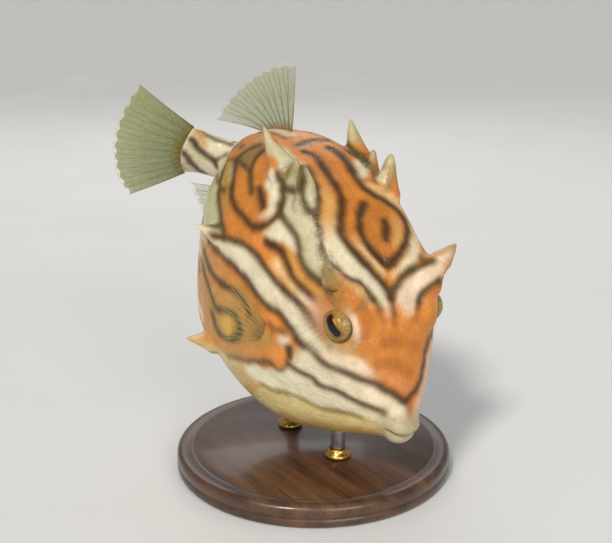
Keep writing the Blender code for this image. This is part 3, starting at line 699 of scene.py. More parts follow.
# Markings. Their places are pixels of the photograph, thrown from its camera onto the skin.
# Pale and coloured patches, laid first to last: colour, strength, softness in pixels and outline
PATCHES = {
    "crest_olive": (OLIVE_TAN, 0.8, 9, [(236, 158), (246, 148), (262, 140), (276, 142), (270, 150),
        (258, 156), (250, 164), (246, 170), (238, 168)]),
    "rear_olive": (GOLD_OLIVE, 0.9, 8, [(226, 160), (232, 160), (230, 180), (228, 194), (229, 206),
        (226, 212), (221, 205), (219, 192), (221, 180), (222, 170)]),
    "rear_edge": (PALE_GREEN, 0.95, 8, [(220, 168), (221, 178), (218, 190), (217, 202), (218, 212),
        (221, 222), (222, 231), (212, 232), (202, 228), (203, 212), (205, 198), (208, 184), (214, 174)]),
    "in_ring": (CREAM, 0.95, 6, [(267, 174), (272, 168), (276, 174), (280, 184), (283, 190), (282, 200),
        (278, 210), (271, 218), (263, 223), (255, 221), (262, 214), (268, 208), (269, 198), (266, 188)]),
    "under_ring": (CREAM, 0.97, 6, [(258, 230), (266, 227), (274, 221), (279, 219), (284, 223),
        (291, 230), (296, 238), (299, 250), (297, 256), (290, 249), (282, 243), (272, 240), (264, 238)]),
    "rear_plate": (PALE, 0.97, 5, [(271, 140), (274, 152), (277, 162), (279, 173), (283, 182), (288, 189),
        (295, 191), (300, 187), (303, 180), (303, 172), (300, 163), (290, 152)]),
    "front_plate": (PALE, 0.97, 5, [(302, 162), (303, 178), (302, 190), (303, 203), (308, 211),
        (315, 213), (319, 207), (319, 195), (316, 184), (312, 174), (308, 164)]),
    "between_spines": (PALE, 0.97, 6, [(283, 190), (290, 192), (297, 191), (302, 196), (303, 205),
        (309, 212), (317, 214), (318, 226), (320, 240), (321, 250), (326, 258), (333, 266), (338, 276),
        (341, 290), (336, 295), (325, 286), (315, 279), (308, 270), (302, 260), (299, 250), (296, 238),
        (290, 230), (284, 222), (280, 213), (281, 203)]),
    "back_band_rear": (PEACH_TAN, 0.92, 8, [(309, 167), (318, 175), (326, 184), (334, 196), (337, 208),
        (336, 222), (339, 236), (322, 238), (320, 222), (318, 214), (320, 205), (320, 194), (317, 184)]),
    "back_band_front": (CREAM, 0.95, 6, [(318, 214), (336, 214), (344, 242), (353, 252), (363, 263),
        (373, 274), (383, 285), (389, 294), (392, 303), (393, 314), (391, 320), (385, 320), (383, 314),
        (380, 306), (374, 298), (367, 289), (360, 282), (352, 279), (343, 272), (333, 264), (324, 256),
        (320, 248)]),
    "inner_band": (PEACH, 0.95, 6, [(346, 232), (353, 235), (361, 236), (365, 243), (372, 253),
        (379, 261), (384, 268), (386, 275), (384, 281), (375, 272), (364, 260), (354, 249), (347, 241)]),
    "by_far_spines": (CREAM, 0.95, 6, [(355, 160), (361, 158), (368, 163), (369, 174), (362, 178),
        (356, 172)]),
    "by_far_front": (CREAM, 0.9, 5, [(376, 173), (383, 169), (387, 176), (384, 184), (377, 181)]),
    "round_diamond": (PEACH, 0.9, 6, [(358, 182), (370, 183), (382, 187), (394, 195), (404, 205),
        (412, 216), (416, 228), (421, 246), (418, 260), (410, 268), (400, 277), (395, 286), (390, 278),
        (391, 270), (397, 264), (403, 256), (409, 246), (411, 233), (408, 222), (402, 212), (392, 205),
        (380, 198), (368, 190)]),
    "round_diamond_low": (CREAM, 0.8, 9, [(412, 225), (418, 240), (420, 252), (412, 266), (402, 272),
        (398, 268), (405, 258), (410, 246)]),
    "diamond_fill": (BROWN, 0.28, 10, [(372, 205), (388, 208), (400, 222), (404, 236), (398, 250),
        (388, 262), (376, 250), (368, 236), (366, 220)]),
    "in_diamond": (PEACH_TAN, 0.9, 8, [(393, 215), (400, 221), (404, 231), (402, 242), (396, 251),
        (393, 246), (394, 235), (392, 225)]),
    "far_horn_band": (WARM_WHITE, 0.97, 6, [(456, 247), (448, 252), (437, 258), (428, 263), (418, 269),
        (409, 276), (401, 284), (398, 292), (397, 303), (400, 314), (405, 322), (411, 316), (416, 309),
        (418, 300), (423, 292), (430, 286), (438, 280), (446, 273), (452, 262)]),
    # Painted highlight: a pale peach shine before the near horn
    "before_horn": (PEACH, 0.85, 12, [(341, 277), (349, 280), (357, 283), (364, 288), (371, 297),
        (376, 306), (370, 306), (362, 298), (354, 291), (346, 285)]),
    "cheek_gold": (GOLD, 0.9, 10, [(286, 247), (296, 253), (300, 263), (306, 271), (314, 280), (322, 288),
        (328, 295), (320, 298), (310, 292), (302, 284), (295, 276), (290, 266)]),
    "cheek_bright": (BRIGHT_ORANGE, 0.85, 6, [(253, 236), (262, 236), (266, 243), (273, 250), (276, 258),
        (272, 264), (265, 262), (258, 254), (252, 246)]),
    "cheek_yellow": (PEACH, 0.95, 10, [(270, 262), (276, 256), (283, 262), (287, 272), (293, 281),
        (300, 289), (294, 294), (285, 285), (277, 276)]),
    "cheek_cream": (CREAM, 0.9, 12, [(290, 288), (298, 287), (307, 294), (313, 302), (311, 310),
        (303, 303), (294, 297)]),
    "cheek_pink": (PINK_CREAM, 0.9, 12, [(305, 300), (313, 300), (319, 309), (322, 322), (318, 330),
        (312, 320), (306, 310)]),
    "first_stripe": (CREAM, 0.98, 5, [(192, 226), (200, 230), (208, 238), (216, 240), (228, 240),
        (238, 243), (247, 248), (254, 254), (259, 260), (263, 267), (268, 274), (274, 281), (281, 288),
        (288, 295), (294, 301), (300, 307), (305, 314), (311, 322), (316, 330), (322, 339), (330, 347),
        (338, 352), (345, 372), (330, 367), (322, 362), (316, 356), (307, 347), (297, 338), (288, 326),
        (278, 313), (266, 305), (255, 293), (246, 279), (232, 265), (218, 252), (206, 241)]),
    "stripe_to_lip": (WARM_WHITE, 0.95, 8, [(326, 344), (336, 350), (348, 355), (358, 358), (366, 364),
        (374, 371), (382, 381), (388, 390), (378, 386), (360, 379), (340, 371), (328, 365), (318, 356)]),
    "second_stripe": (CREAM, 0.98, 5, [(290, 350), (295, 343), (302, 346), (307, 349), (316, 357),
        (322, 363), (330, 368), (340, 372), (350, 376), (360, 380), (368, 383), (378, 387), (388, 392),
        (396, 397), (404, 402), (409, 412), (404, 422), (396, 418), (385, 415), (378, 411), (370, 407),
        (360, 403), (350, 398), (343, 394), (335, 390), (325, 387), (318, 384), (314, 379), (308, 375),
        (300, 372), (292, 368), (288, 360)]),
    "second_front": (WARM_WHITE, 0.7, 12, [(355, 383), (380, 392), (398, 402), (404, 412), (394, 414),
        (372, 404), (352, 394)]),
    "third_stripe": (CREAM, 0.98, 5, [(244, 366), (254, 364), (262, 369), (273, 368), (280, 373),
        (287, 367), (292, 369), (300, 373), (308, 376), (314, 380), (318, 385), (325, 388), (335, 391),
        (343, 395), (350, 399), (360, 404), (370, 408), (378, 412), (385, 416), (394, 420), (384, 424),
        (370, 420), (358, 416), (346, 413), (330, 410), (320, 408), (312, 404), (304, 400), (295, 396),
        (285, 392), (272, 388), (258, 381), (248, 374)]),
    "flank_rear_pale": (GOLD_OLIVE, 0.7, 8, [(202, 246), (208, 254), (212, 264), (216, 268), (213, 276),
        (208, 270), (204, 262), (202, 254)]),
    "flank_edge": (GOLD_OLIVE, 0.8, 9, [(202, 262), (208, 280), (214, 296), (218, 312), (222, 330),
        (214, 332), (208, 310), (204, 290)]),
    "flank_spot": (YELLOW, 0.95, 9, [(228, 312), (233, 320), (233, 331), (228, 336), (224, 328),
        (224, 318)]),
    "flank_olive": (GOLD_OLIVE, 0.75, 10, [(252, 326), (264, 330), (272, 338), (270, 346), (258, 348),
        (250, 340)]),
    "gill_orange": (BRIGHT_ORANGE, 0.85, 12, [(262, 308), (272, 312), (282, 318), (290, 328), (284, 330),
        (272, 326), (264, 318)]),
    "fin_lobe": (BRIGHT_ORANGE, 0.95, 9, [(270, 350), (277, 346), (286, 348), (289, 356), (286, 364),
        (279, 366), (272, 360)]),
    # Painted highlight: a cream shine on the gill flap over the fin's root
    "fin_white": (CREAM, 0.9, 9, [(279, 336), (285, 333), (289, 338), (288, 345), (282, 345),
        (278, 341)]),
    "muzzle": (SALMON, 0.85, 16, [(376, 366), (388, 370), (402, 376), (412, 384), (410, 394), (402, 396),
        (390, 388), (380, 378)]),
    "far_cheek": (SALMON, 0.5, 8, [(430, 290), (440, 288), (442, 300), (432, 306)]),
    "far_edge": (PINK_CREAM, 0.85, 4, [(436, 330), (429, 348), (425, 365), (423, 380), (418, 395),
        (413, 408), (416, 420), (426, 412), (432, 390), (434, 360)]),
    "belly_front": (BELLY, 0.95, 6, [(262, 386), (275, 392), (285, 394), (295, 397), (304, 401),
        (312, 405), (320, 409), (330, 411), (346, 414), (360, 418), (376, 423), (394, 424), (400, 432),
        (380, 440), (350, 444), (310, 436), (280, 418), (256, 396)]),
    "stripe_end": (BRIGHT_ORANGE, 0.85, 8, [(379, 300), (402, 300), (402, 326), (379, 326)]),
    "belly_low": (BELLY_EDGE, 0.8, 10, [(282, 412), (300, 418), (320, 422), (345, 426), (370, 428),
        (390, 432), (380, 442), (350, 446), (310, 440), (280, 424)]),
}

# Patches that come up gradually: from nothing at the first pixel to all at the second
FADES = {
    "back_band_front": ((318, 216), (334, 250)),
    "inner_band": ((348, 230), (364, 256)),
    "far_horn_band": ((404, 326), (406, 304)),
    "stripe_end": ((386, 298), (389, 320)),
    "stripe_to_lip": ((390, 388), (362, 366)),
    "round_diamond_low": ((414, 214), (416, 244)),
    "in_ring": ((256, 226), (272, 206)),
    "under_ring": ((256, 226), (276, 232)),
    "second_stripe": ((286, 350), (304, 362)),
    "cheek_cream": ((292, 286), (302, 298)),
}

# Dark lines: half width in millimetres, colour and the path down the middle
LINES = {
    "outer_rear": (0.60, DARK_OLIVE, [(226, 162), (222, 172), (219, 184), (218, 196), (219, 208),
        (221, 220), (223, 233)]),
    "rear_ring": (0.75, DARK_BROWN, [(236, 158), (234, 170), (233, 180), (231, 190), (231, 198),
        (235, 207), (241, 215), (248, 222), (254, 227), (262, 226), (270, 221), (276, 215), (280, 206),
        (283, 196), (282, 189)]),
    "ring_top": (0.55, DARK_OLIVE, [(238, 158), (246, 151), (254, 147), (259, 145)]),
    "ring_inner": (0.65, DARK_OLIVE, [(263, 151), (257, 156), (252, 164), (250, 174), (250, 184),
        (251, 192)]),
    "ring_crescent": (0.85, DARK_BROWN, [(259, 188), (261, 198), (262, 207)]),
    "rear_plate": (0.60, DARK_OLIVE, [(277, 174), (281, 183), (287, 189), (295, 191), (300, 187),
        (303, 180), (303, 172), (301, 165)]),
    "front_plate": (0.55, DARK_OLIVE, [(303, 176), (302, 190), (303, 203), (308, 211), (315, 213),
        (319, 207), (319, 195), (316, 184), (312, 174), (307, 166)]),
    "shoulder": (0.62, DARK_OLIVE, [(280, 205), (280, 214), (285, 222), (291, 229), (296, 237),
        (299, 246), (299, 255), (303, 264), (308, 272), (315, 279), (325, 286), (333, 291)]),
    "brow": (0.62, DARK_OLIVE, [(316, 214), (318, 226), (320, 240), (321, 250), (328, 259), (336, 267),
        (344, 274), (353, 279), (362, 283), (368, 291), (374, 299)]),
    "beside_brow": (0.40, GREY_OLIVE, [(322, 256), (328, 265), (335, 272), (341, 276)]),
    "above_first_stripe": (0.66, DARK_BROWN, [(212, 235), (222, 238), (232, 240), (240, 243), (247, 247),
        (254, 253), (259, 259), (263, 266), (268, 273), (274, 280), (281, 287), (288, 294), (294, 300),
        (300, 306), (305, 313), (311, 321), (316, 330), (322, 338), (330, 346)]),
    "below_first_stripe": (0.66, DARK_BROWN, [(208, 240), (213, 247), (218, 252), (225, 259), (232, 265),
        (239, 272), (246, 279), (250, 286), (255, 293), (260, 299), (266, 305), (272, 309), (278, 313),
        (283, 319), (288, 326), (293, 332), (297, 338), (301, 343), (307, 347), (312, 351), (316, 356),
        (322, 362), (330, 367), (340, 371), (350, 375), (360, 379), (368, 382), (378, 386), (388, 391),
        (396, 396), (405, 401)]),
    "second_line": (0.68, DARK_BROWN, [(287, 363), (292, 368), (300, 373), (308, 376), (314, 380),
        (318, 385), (325, 388), (335, 391), (343, 395), (350, 399), (360, 404), (370, 408), (378, 411),
        (384, 414)]),
    "cheek": (0.70, DARK_BROWN, [(266, 241), (272, 245), (278, 249), (282, 254), (285, 261), (288, 269),
        (292, 277), (298, 284), (305, 290), (312, 297)]),
    "lower_flank": (0.62, DARK_BROWN, [(204, 252), (207, 262), (211, 272), (217, 280), (224, 286),
        (232, 290), (238, 295), (243, 301), (246, 308), (249, 315)]),
    "lower_outer": (0.62, DARK_OLIVE, [(201, 258), (204, 272), (208, 286), (212, 298), (217, 309),
        (226, 311), (233, 315), (238, 322), (240, 330), (236, 338), (229, 340), (221, 336), (216, 328),
        (212, 314)]),
    "gill_dash": (0.60, BROWN, [(269, 326), (275, 330), (283, 332)]),
    # Painted shadow: dark in the gill slit, by the fin's root
    "gill_slit_shadow": (0.60, BLACK_BROWN, [(289, 349), (289, 357)]),
    "back_streak": (0.70, DARK_OLIVE, [(298, 145), (305, 142), (314, 140), (326, 140), (338, 141),
        (346, 145), (353, 151), (361, 157), (368, 166)]),
    "midline_near": (0.90, DARK_BROWN, [(305, 152), (314, 155), (320, 161), (326, 170), (332, 179),
        (338, 188), (342, 199), (342, 210), (341, 222), (341, 232), (347, 242), (356, 253), (366, 264),
        (376, 275), (385, 286), (391, 297)]),
    "midline_far": (0.75, DARK_OLIVE, [(432, 261), (421, 265), (411, 270), (403, 277), (397, 285),
        (393, 293)]),
    "diamond_near": (0.90, DARK_BROWN, [(364, 204), (360, 216), (361, 230), (366, 242), (373, 251),
        (380, 259), (388, 265)]),
    "diamond_far": (0.88, DARK_BROWN, [(330, 148), (338, 152), (345, 159), (351, 167), (356, 177),
        (364, 187), (374, 194), (386, 201), (397, 209), (404, 218), (408, 229), (406, 243), (401, 252),
        (395, 260), (388, 265)]),
    "far_brow": (0.7, DARK_OLIVE, [(440, 281), (430, 287), (423, 293), (419, 301)]),
    "far_face": (0.55, DARK_BROWN, [(432, 333), (429, 341), (426, 352), (424, 365), (422, 376),
        (419, 386), (413, 394), (407, 401)]),
}

# Broader or fainter dark marks: half width in pixels, colour, strength and path
DARK_MARKS = {
    "back_patch": (4.4, DARK_BROWN, 0.85, [(304, 152), (312, 154), (318, 158), (323, 166), (328, 174)]),
    "far_patch": (4.6, DARK_BROWN, 0.85, [(331, 148), (338, 152), (345, 160), (352, 170)]),
    "streak_rear": (3.6, DARK_OLIVE, 0.8, [(299, 145), (306, 142), (316, 140)]),
    "diamond_core": (5.0, DARK_BROWN, 0.95, [(385, 222), (386, 230), (386, 238)]),
    "diamond_foot": (5.0, DARK_BROWN, 0.65, [(384, 261), (392, 262)]),
    "by_far_plate": (4.6, DARK_OLIVE, 0.85, [(352, 151), (359, 155), (366, 158)]),
    "by_far_spine": (3.2, DARK_OLIVE, 0.8, [(371, 164), (374, 172), (375, 182)]),
    "far_front_root": (4.0, OLIVE_TAN, 0.6, [(389, 168), (389, 180), (387, 190)]),
    "by_far_horn": (4.0, DARK_OLIVE, 0.75, [(422, 258), (430, 262)]),
    "v_stem": (4.5, BROWN, 0.6, [(392, 300), (394, 312), (395, 324)]),
    "v_stem_dark": (2.6, OLIVE_BROWN, 0.6, [(391, 297), (393, 306), (394, 314)]),
    "brow_end": (2.6, OLIVE_BROWN, 0.75, [(374, 299), (378, 305), (381, 310)]),
    "brow_fade": (3.0, BROWN, 0.55, [(381, 310), (383, 317), (384, 323)]),
    "far_brow_end": (2.6, OLIVE_BROWN, 0.7, [(419, 301), (418, 308)]),
    "far_brow_fade": (3.0, BROWN, 0.5, [(418, 308), (417, 314), (416, 320)]),
    "v_between": (5.0, ORANGE, 0.7, [(389, 276), (391, 290)]),
    "brow_band": (5.0, BROWN, 0.36, [(385, 343), (400, 342), (415, 345)]),
    "nose_band": (6.0, BROWN, 0.38, [(380, 364), (395, 366), (410, 372)]),
    "muzzle_taper": (3.5, BROWN, 0.7, [(405, 399), (408, 406), (409, 414)]),
    "stripe_blotch": (3.5, DARK_OLIVE, 0.85, [(297, 341), (303, 346)]),
    "cheek_blotch": (4.0, DARK_BROWN, 0.85, [(266, 242), (273, 245)]),
    "flank_shade": (3.0, BROWN, 0.5, [(246, 308), (252, 318), (258, 328)]),
    "flank_blotch": (3.5, BROWN, 0.6, [(214, 276), (222, 284), (230, 288)]),
    "spot_corner": (3.0, BROWN, 0.6, [(236, 336), (230, 339)]),
    "flank_to_belly": (2.8, OLIVE_BROWN, 0.75, [(228, 357), (236, 358), (246, 361), (256, 361)]),
    "belly_blotch": (4.0, DARK_OLIVE, 0.85, [(259, 362), (266, 362), (272, 364)]),
    "belly_dash": (1.8, OLIVE_BROWN, 0.7, [(273, 367), (278, 371), (284, 370), (288, 366)]),
    "lobe_shadow": (2.5, OLIVE_BROWN, 0.8, [(288, 348), (289, 356)]),
    "third_line": (2.6, BELLY_LINE, 0.95, [(262, 385), (275, 391), (285, 393), (295, 396), (304, 400),
        (312, 404), (320, 408), (330, 410), (340, 412), (350, 414), (360, 418)]),
    "under_eye": (2.2, TAN, 0.6, [(334, 350), (350, 353), (362, 355), (370, 361)]),
}

# Lines of the rear that the photograph doesn't show: station and share of the half section,
# 0 at the top line, 1 dorsal ridge, 2 flank ridge, 3 ventral ridge, 4 keel
REAR_LINES = {
    "along_back": [(-20, 0.45), (-27, 0.42), (-34, 0.40), (-41, 0.40)],
    "below_ridge": [(-17, 1.30), (-24, 1.30), (-32, 1.40), (-41, 1.45)],
    "above_flank": [(-20, 1.66), (-26, 1.70), (-34, 1.76), (-41, 1.82)],
    "under_flank": [(-18, 2.20), (-25, 2.28), (-33, 2.28), (-41, 2.3)],
    "over_belly": [(-16, 2.60), (-24, 2.66), (-31, 2.66), (-39, 2.7)],
    "belly_rear": [(-6, 3.10), (-16, 3.14), (-26, 3.12), (-36, 3.1)],
}
REAR_BANDS = {
    "back": [(-22, 0.18), (-30, 0.18), (-40, 0.2)],
    "upper": [(-22, 1.48), (-28, 1.50), (-34, 1.60), (-41, 1.64)],
    "flank": [(-19, 2.0), (-26, 2.02), (-34, 2.04), (-41, 2.06)],
    "lower": [(-16, 2.44), (-24, 2.48), (-31, 2.47), (-39, 2.5)],
    "belly": [(-8, 2.88), (-18, 2.90), (-27, 2.9), (-37, 2.9)],
}
REAR_HALF, REAR_BAND_HALF = 0.62, 1.5

# Streaks along the spines and horns: start and end as shares of the length, shift, colour, half
# width, softness and strength. The shift is the right side's
SPINE_GROUND = {"ventral": PEACH_TAN, "flank": CREAM}
OUTER_STREAK = (0.1, 1.05, (1.3, 1.3, 0), CREAM, 0.8, 0.9, 0.5)
SPINE_STREAKS = {
    "front_dorsal": [(-0.1, 0.84, (-0.9, -1.9, 0), GREY_OLIVE, 1.5, 1.2, 0.9), OUTER_STREAK],
    "middle_dorsal": [(-0.1, 0.84, (-0.9, -1.9, 0), OLIVE_TAN, 1.5, 1.2, 0.9), OUTER_STREAK],
    "rear_dorsal": [(-0.1, 0.84, (-2.0, -1.9, 0), BROWN, 1.5, 1.2, 0.9), OUTER_STREAK],
    "flank": [(-0.4, 0.9, (0, 0, 2.4), DARK_BROWN, 1.2, 0.9, 0.95)],
    "ventral": [(0.45, 0.9, (0, 0, 0), BROWN, 0.7, 0.6, 0.45),
                (0.2, 1.0, (0, 0, 1.6), CREAM, 0.8, 0.9, 0.7),
                (0.88, 1.1, (0, 0, 0), PEACH, 0.6, 0.6, 0.8)],
}
NEAR_REAR_STREAK = (0.05, 1.0, (1.0, -0.9, 0), PALE, 1.4, 0.9, 0.95)
HORN_STREAKS = [
    (0.15, 0.88, (2.5, 0, -1.0), ORANGE, 2.0, 1.6, 0.85),
    (0.15, 1.0, (-1.9, 0, 1.2), HORN_CREAM, 2.2, 1.6, 0.9),
    (0.55, 1.08, (0, 0, 0), SPINE_OLIVE, 1.4, 1.6, 0.6),
    (0.84, 1.08, (0, 0, 0), GREY_OLIVE, 1.0, 1.2, 0.6),
]

# What the photograph shows of the near horn, which points at the camera. Its olive is partly the horn's
# own tint and partly painted shade of its shaded side
NEAR_HORN = [(323, 263), (330, 269), (337, 277), (342, 286), (343, 295), (338, 298), (331, 293),
             (325, 285), (321, 274)]
NEAR_HORN_TIP = [(322, 262), (329, 267), (332, 275), (327, 280), (322, 272)]

# Marks round and in the near eye; the pale crescent on the lid is a painted highlight
LID_HIGHLIGHT = [(345, 310), (352, 317), (357, 328), (357, 340)]
LOWER_LID = [(330, 342), (338, 349), (348, 350), (355, 345)]
LID_WRINKLES = [(321, 302), (320, 314), (322, 328)]
PUPIL = [(330, 318), (331, 323), (333, 328), (337, 333)]
IRIS_FLECK = [(334, 320), (336, 324)]

# Bars of the tail stalk in the photograph: half width in pixels, colour, strength and path
TAIL_MARKS = {
    "top": (3.0, OLIVE_BROWN, 0.9, [(200, 131), (208, 136), (218, 140), (230, 144), (243, 147)]),
    "pink": (3.6, PEACH_TAN, 0.85, [(198, 131), (202, 138), (206, 145)]),
    "bar_front": (2.4, DARK_BROWN, 0.92, [(241, 143), (234, 148), (228, 153), (220, 158), (214, 161)]),
    "blotch_front": (3.2, DARK_BROWN, 0.9, [(229, 151), (231, 154)]),
    "bar_middle": (3.8, DARK_BROWN, 0.95, [(191, 139), (198, 148), (205, 155), (212, 159), (216, 165),
        (218, 171)]),
    "bar_rear": (3.4, DARK_BROWN, 0.95, [(183, 152), (190, 161), (196, 168), (204, 173), (210, 178),
        (213, 183)]),
    "end": (2.6, GREY_OLIVE, 0.7, [(180, 164), (188, 172), (198, 178)]),
}

# Bars of the tail stalk's hidden side: share of its length, height of the top and of the foot
STALK_BARS = [(0.22, 1.0, -1.0), (0.47, 0.9, -0.9), (0.74, 0.85, -0.95)]
BAR_LEAN = 0.10


def trail(places):
    """Path on the right side through (station, share) places."""
    return [np.array(on_body(x, share)) for x, share in smooth_path(places, 0.6)]


def facing_photo(points, outward):
    """How squarely each point faces the photograph's camera, -1 to 1."""
    toward = np.array(VIEW_FROM) - points
    toward /= np.linalg.norm(toward, axis=1)[:, None]
    return (toward * outward).sum(axis=1)


def paint_body(painter):
    """Ground colours, pale bands and patches."""
    points = painter.points
    x, z = points[:, 0], points[:, 2]
    lower = smoothstep(2.0, -8.0, z - at(FLANK_Z, x)) * smoothstep(22.0, 12.0, x)
    painter.wash(0.8 * lower, TAN)
    ridge = at(VENTRAL_Z, x)
    under = smoothstep(-0.5, 3.5, ridge - z)
    edge = smoothstep(1.0, 5.0, ridge - z) * (1 - smoothstep(9.0, 16.0, ridge - z))
    painter.wash(under, BELLY)
    painter.wash(0.7 * edge * smoothstep(4.0, 14.0, x), BELLY_EDGE)
    for places in REAR_BANDS.values():
        painter.stroke(trail(places), CREAM, REAR_BAND_HALF, 0.9, 0.9)
    for name, (colour, strength, soft, outline) in PATCHES.items():
        painter.patch(outline, colour, strength, soft, FADES.get(name))
    painter.colour *= 1 + 0.07 * mottle(points, 3.1)[:, None] * np.array((0.6, 1.0, 1.5))
    painter.colour *= 1 + 0.02 * mottle(points, 1.3)[:, None]


def paint_lines(painter):
    """Dark marks and lines, over everything."""
    for half, colour, strength, pixels in DARK_MARKS.values():
        painter.stroke(painter.drop(pixels), colour, half * PIXEL_MM, 0.8, strength, groove=0.3)
    for places in REAR_LINES.values():
        painter.stroke(trail(places), DARK_BROWN, REAR_HALF, 0.55, 0.9, groove=1.0)
    for half, colour, pixels in LINES.values():
        path = painter.drop(pixels)
        painter.stroke(path, BROWN, half + 0.5, 1.0, 0.35)
        painter.stroke(path, colour, half * 1.3, 0.95, 0.97, groove=1.0)


def paint_stalk(painter):
    """White stalk with brown bars: from the photograph where it shows, and round the far side."""
    tail = np.array(TAIL[TAIL_STEPS // 2][0])
    near = 1 - smoothstep(11.0, 14.0, np.linalg.norm(painter.points - tail, axis=1))
    behind = smoothstep(-41.5, -43.5, painter.points[:, 0])
    painter.wash(np.maximum(near * behind, smoothstep(-42.5, -45.5, painter.points[:, 0])), CREAM)
    for share, top, foot in STALK_BARS:
        path = [stalk_point(share + BAR_LEAN * q, q) for q in np.linspace(foot, top, 24)]
        painter.stroke(path, DARK_BROWN, 0.8, 0.6, 0.95, groove=0.5)
    for half, colour, strength, pixels in TAIL_MARKS.values():
        painter.stroke(painter.drop(pixels), colour, half * PIXEL_MM, 0.6, strength, groove=0.4)


def stalk_point(share, height):
    """Point on the stalk's hidden side: share of its length, height -1 to 1."""
    share = min(max(share, 0.0), 1.0)
    p, d = TAIL[int(round(share * TAIL_STEPS))]
    up, side = upright(d)
    high, wide = stalk_size(share)
    across = math.sqrt(max(0.0, 1 - height * height))
    return np.array(p + up * (high * height - END_LOW * share * share) + side * wide * across)


def to_side(point, side):
    """A point of the right side, on side 1 right or -1 left."""
    return Vector((point[0], point[1] * side, point[2]))


def paint_spines(painter):
    """Pale outside; the inner faces of the back spines are brown, olive and green."""
    for side in (1, -1):
        for name, (base, tip, radius, _) in SPINES.items():
            base, tip = to_side(base, side), to_side(tip, side)
            if name == "rear_dorsal" and side == 1:
                streaks = [NEAR_REAR_STREAK]
            else:
                ground = SPINE_GROUND.get(name, SPINE_OLIVE)
                streaks = [(0.34, 1.0, (0, 0, 0), ground, radius * 0.72, 1.3, 0.95), *SPINE_STREAKS[name]]
            for start, end, shift, *paint in streaks:
                painter.streak(base, tip, start, end, to_side(shift, side), *paint)


def paint_horn(painter):
    """Pale above and outside, orange to the front, greenish at the tip; the olive patch on the near horn
    is partly painted shade.
    """
    for side in (1, -1):
        base, tip = to_side(HORN_BASE, side), to_side(HORN_TIP, side)
        for start, end, shift, *paint in HORN_STREAKS:
            painter.streak(base, tip, start, end, to_side(shift, side), *paint)
    # Olive over the near horn: its own tint with painted shade of its shaded side
    painter.patch(NEAR_HORN, HORN_OLIVE, 0.85, 7)
    painter.patch(NEAR_HORN_TIP, GREY_OLIVE, 0.6, 6)


def paint_face(painter):
    """Lids, mouth and nostrils, with a painted highlight on the near lid and lips in a tone that is
    partly painted shade.
    """
    points = painter.points
    x, z = points[:, 0], points[:, 2]
    axis = Vector(LID_AXIS).normalized()
    turn = axis.to_track_quat("Z", "Y").to_matrix()
    middle = Vector(EYE_CENTRE) + axis * (LID_OUT + 0.6)
    for side in (1, -1):
        ring = []
        for a in circle(48) + [0.0]:
            p = middle + turn @ Vector((LID_RADIUS * math.cos(a), LID_RADIUS * math.sin(a), 0))
            ring.append(np.array(to_side(p, side)))
        painter.stroke(ring, PEACH_TAN, 1.0, 0.9, 0.8)
        painter.stroke(ring, BROWN, 0.25, 0.5, 0.35)
    # Painted highlight: a pale crescent on the near lid
    painter.stroke(painter.drop(LID_HIGHLIGHT), WHITE, 0.55, 0.75, 0.7)
    # The lower lid takes the lip tone, which is partly painted shade
    painter.stroke(painter.drop(LOWER_LID), LIP, 0.7, 0.8, 0.7)
    painter.stroke(painter.drop(LID_WRINKLES), PINK, 1.1, 0.9, 0.7)
    # Lips in the lip tone, partly painted shade
    painter.wash(smoothstep(46.0, 49.5, x) * smoothstep(-6.5, -9.5, z), LIP)
    on_line = smoothstep(48.5, 50.5, x) * np.exp(-((z - MOUTH_Z) / 0.42) ** 2)
    painter.wash(0.9 * on_line, LIP_LINE)
    for side in (1, -1):
        painter.stroke([np.array(to_side(NOSTRIL, side))], BLACK_BROWN, 0.55, 0.35, 0.9)


def shape_skin(points, outward, groove):
    """Vertex places after the fine relief: sunk dark lines, line of the mouth, nostrils, gill slits."""
    x, y, z = points.T
    right = np.column_stack((x, -np.abs(y), z))
    depth = LINE_SINK * groove
    depth += MOUTH_SINK * smoothstep(48.8, 51.0, x) * np.exp(-((z - MOUTH_Z) / 0.40) ** 2)
    from_nostril = np.linalg.norm(right - NOSTRIL, axis=1)
    depth += HOLE_SINK * (1 - smoothstep(0.2, 0.95, from_nostril))
    from_gill = np.linalg.norm((right - GILL) / GILL_RADII, axis=1)
    depth += HOLE_SINK * (1 - smoothstep(0.3, 1.0, from_gill))
    return points - outward * depth[:, None]


def set_paint(obj, colour, alpha=None):
    """Store the painted colour on the mesh, one value a vertex."""
    layer = obj.data.color_attributes.new("paint", "FLOAT_COLOR", "POINT")
    data = np.ones((len(obj.data.vertices), 4), np.float32)
    data[:, :3] = np.clip(colour, 0, 1)
    if alpha is not None:
        data[:, 3] = alpha
    layer.data.foreach_set("color", data.ravel())


def markings(points, outward, tree):
    """Painted colour and groove at each point.

    The left side is painted where the photograph sees it; the rest mirrors the right side.
    """
    left = np.nonzero(points[:, 1] > 0)[0]
    flip = np.array((1, -1, 1))
    both = np.concatenate((points, points[left] * flip))
    facing = facing_photo(both, np.concatenate((outward, outward[left] * flip)))
    painter = Painter(waver(both, 5.0, 0.16), tree, ORANGE, smoothstep(0.0, 0.12, facing))
    paint_body(painter)
    paint_stalk(painter)
    paint_spines(painter)
    paint_horn(painter)
    paint_lines(painter)
    paint_face(painter)
    n = len(points)
    seen = smoothstep(0.02, 0.22, facing[left])
    seen_row = seen[:, None]
    colour, groove = painter.colour[:n], painter.groove[:n]
    colour[left] = colour[left] * seen_row + painter.colour[n:] * (1 - seen_row)
    groove[left] = groove[left] * seen + painter.groove[n:] * (1 - seen)
    return colour, groove


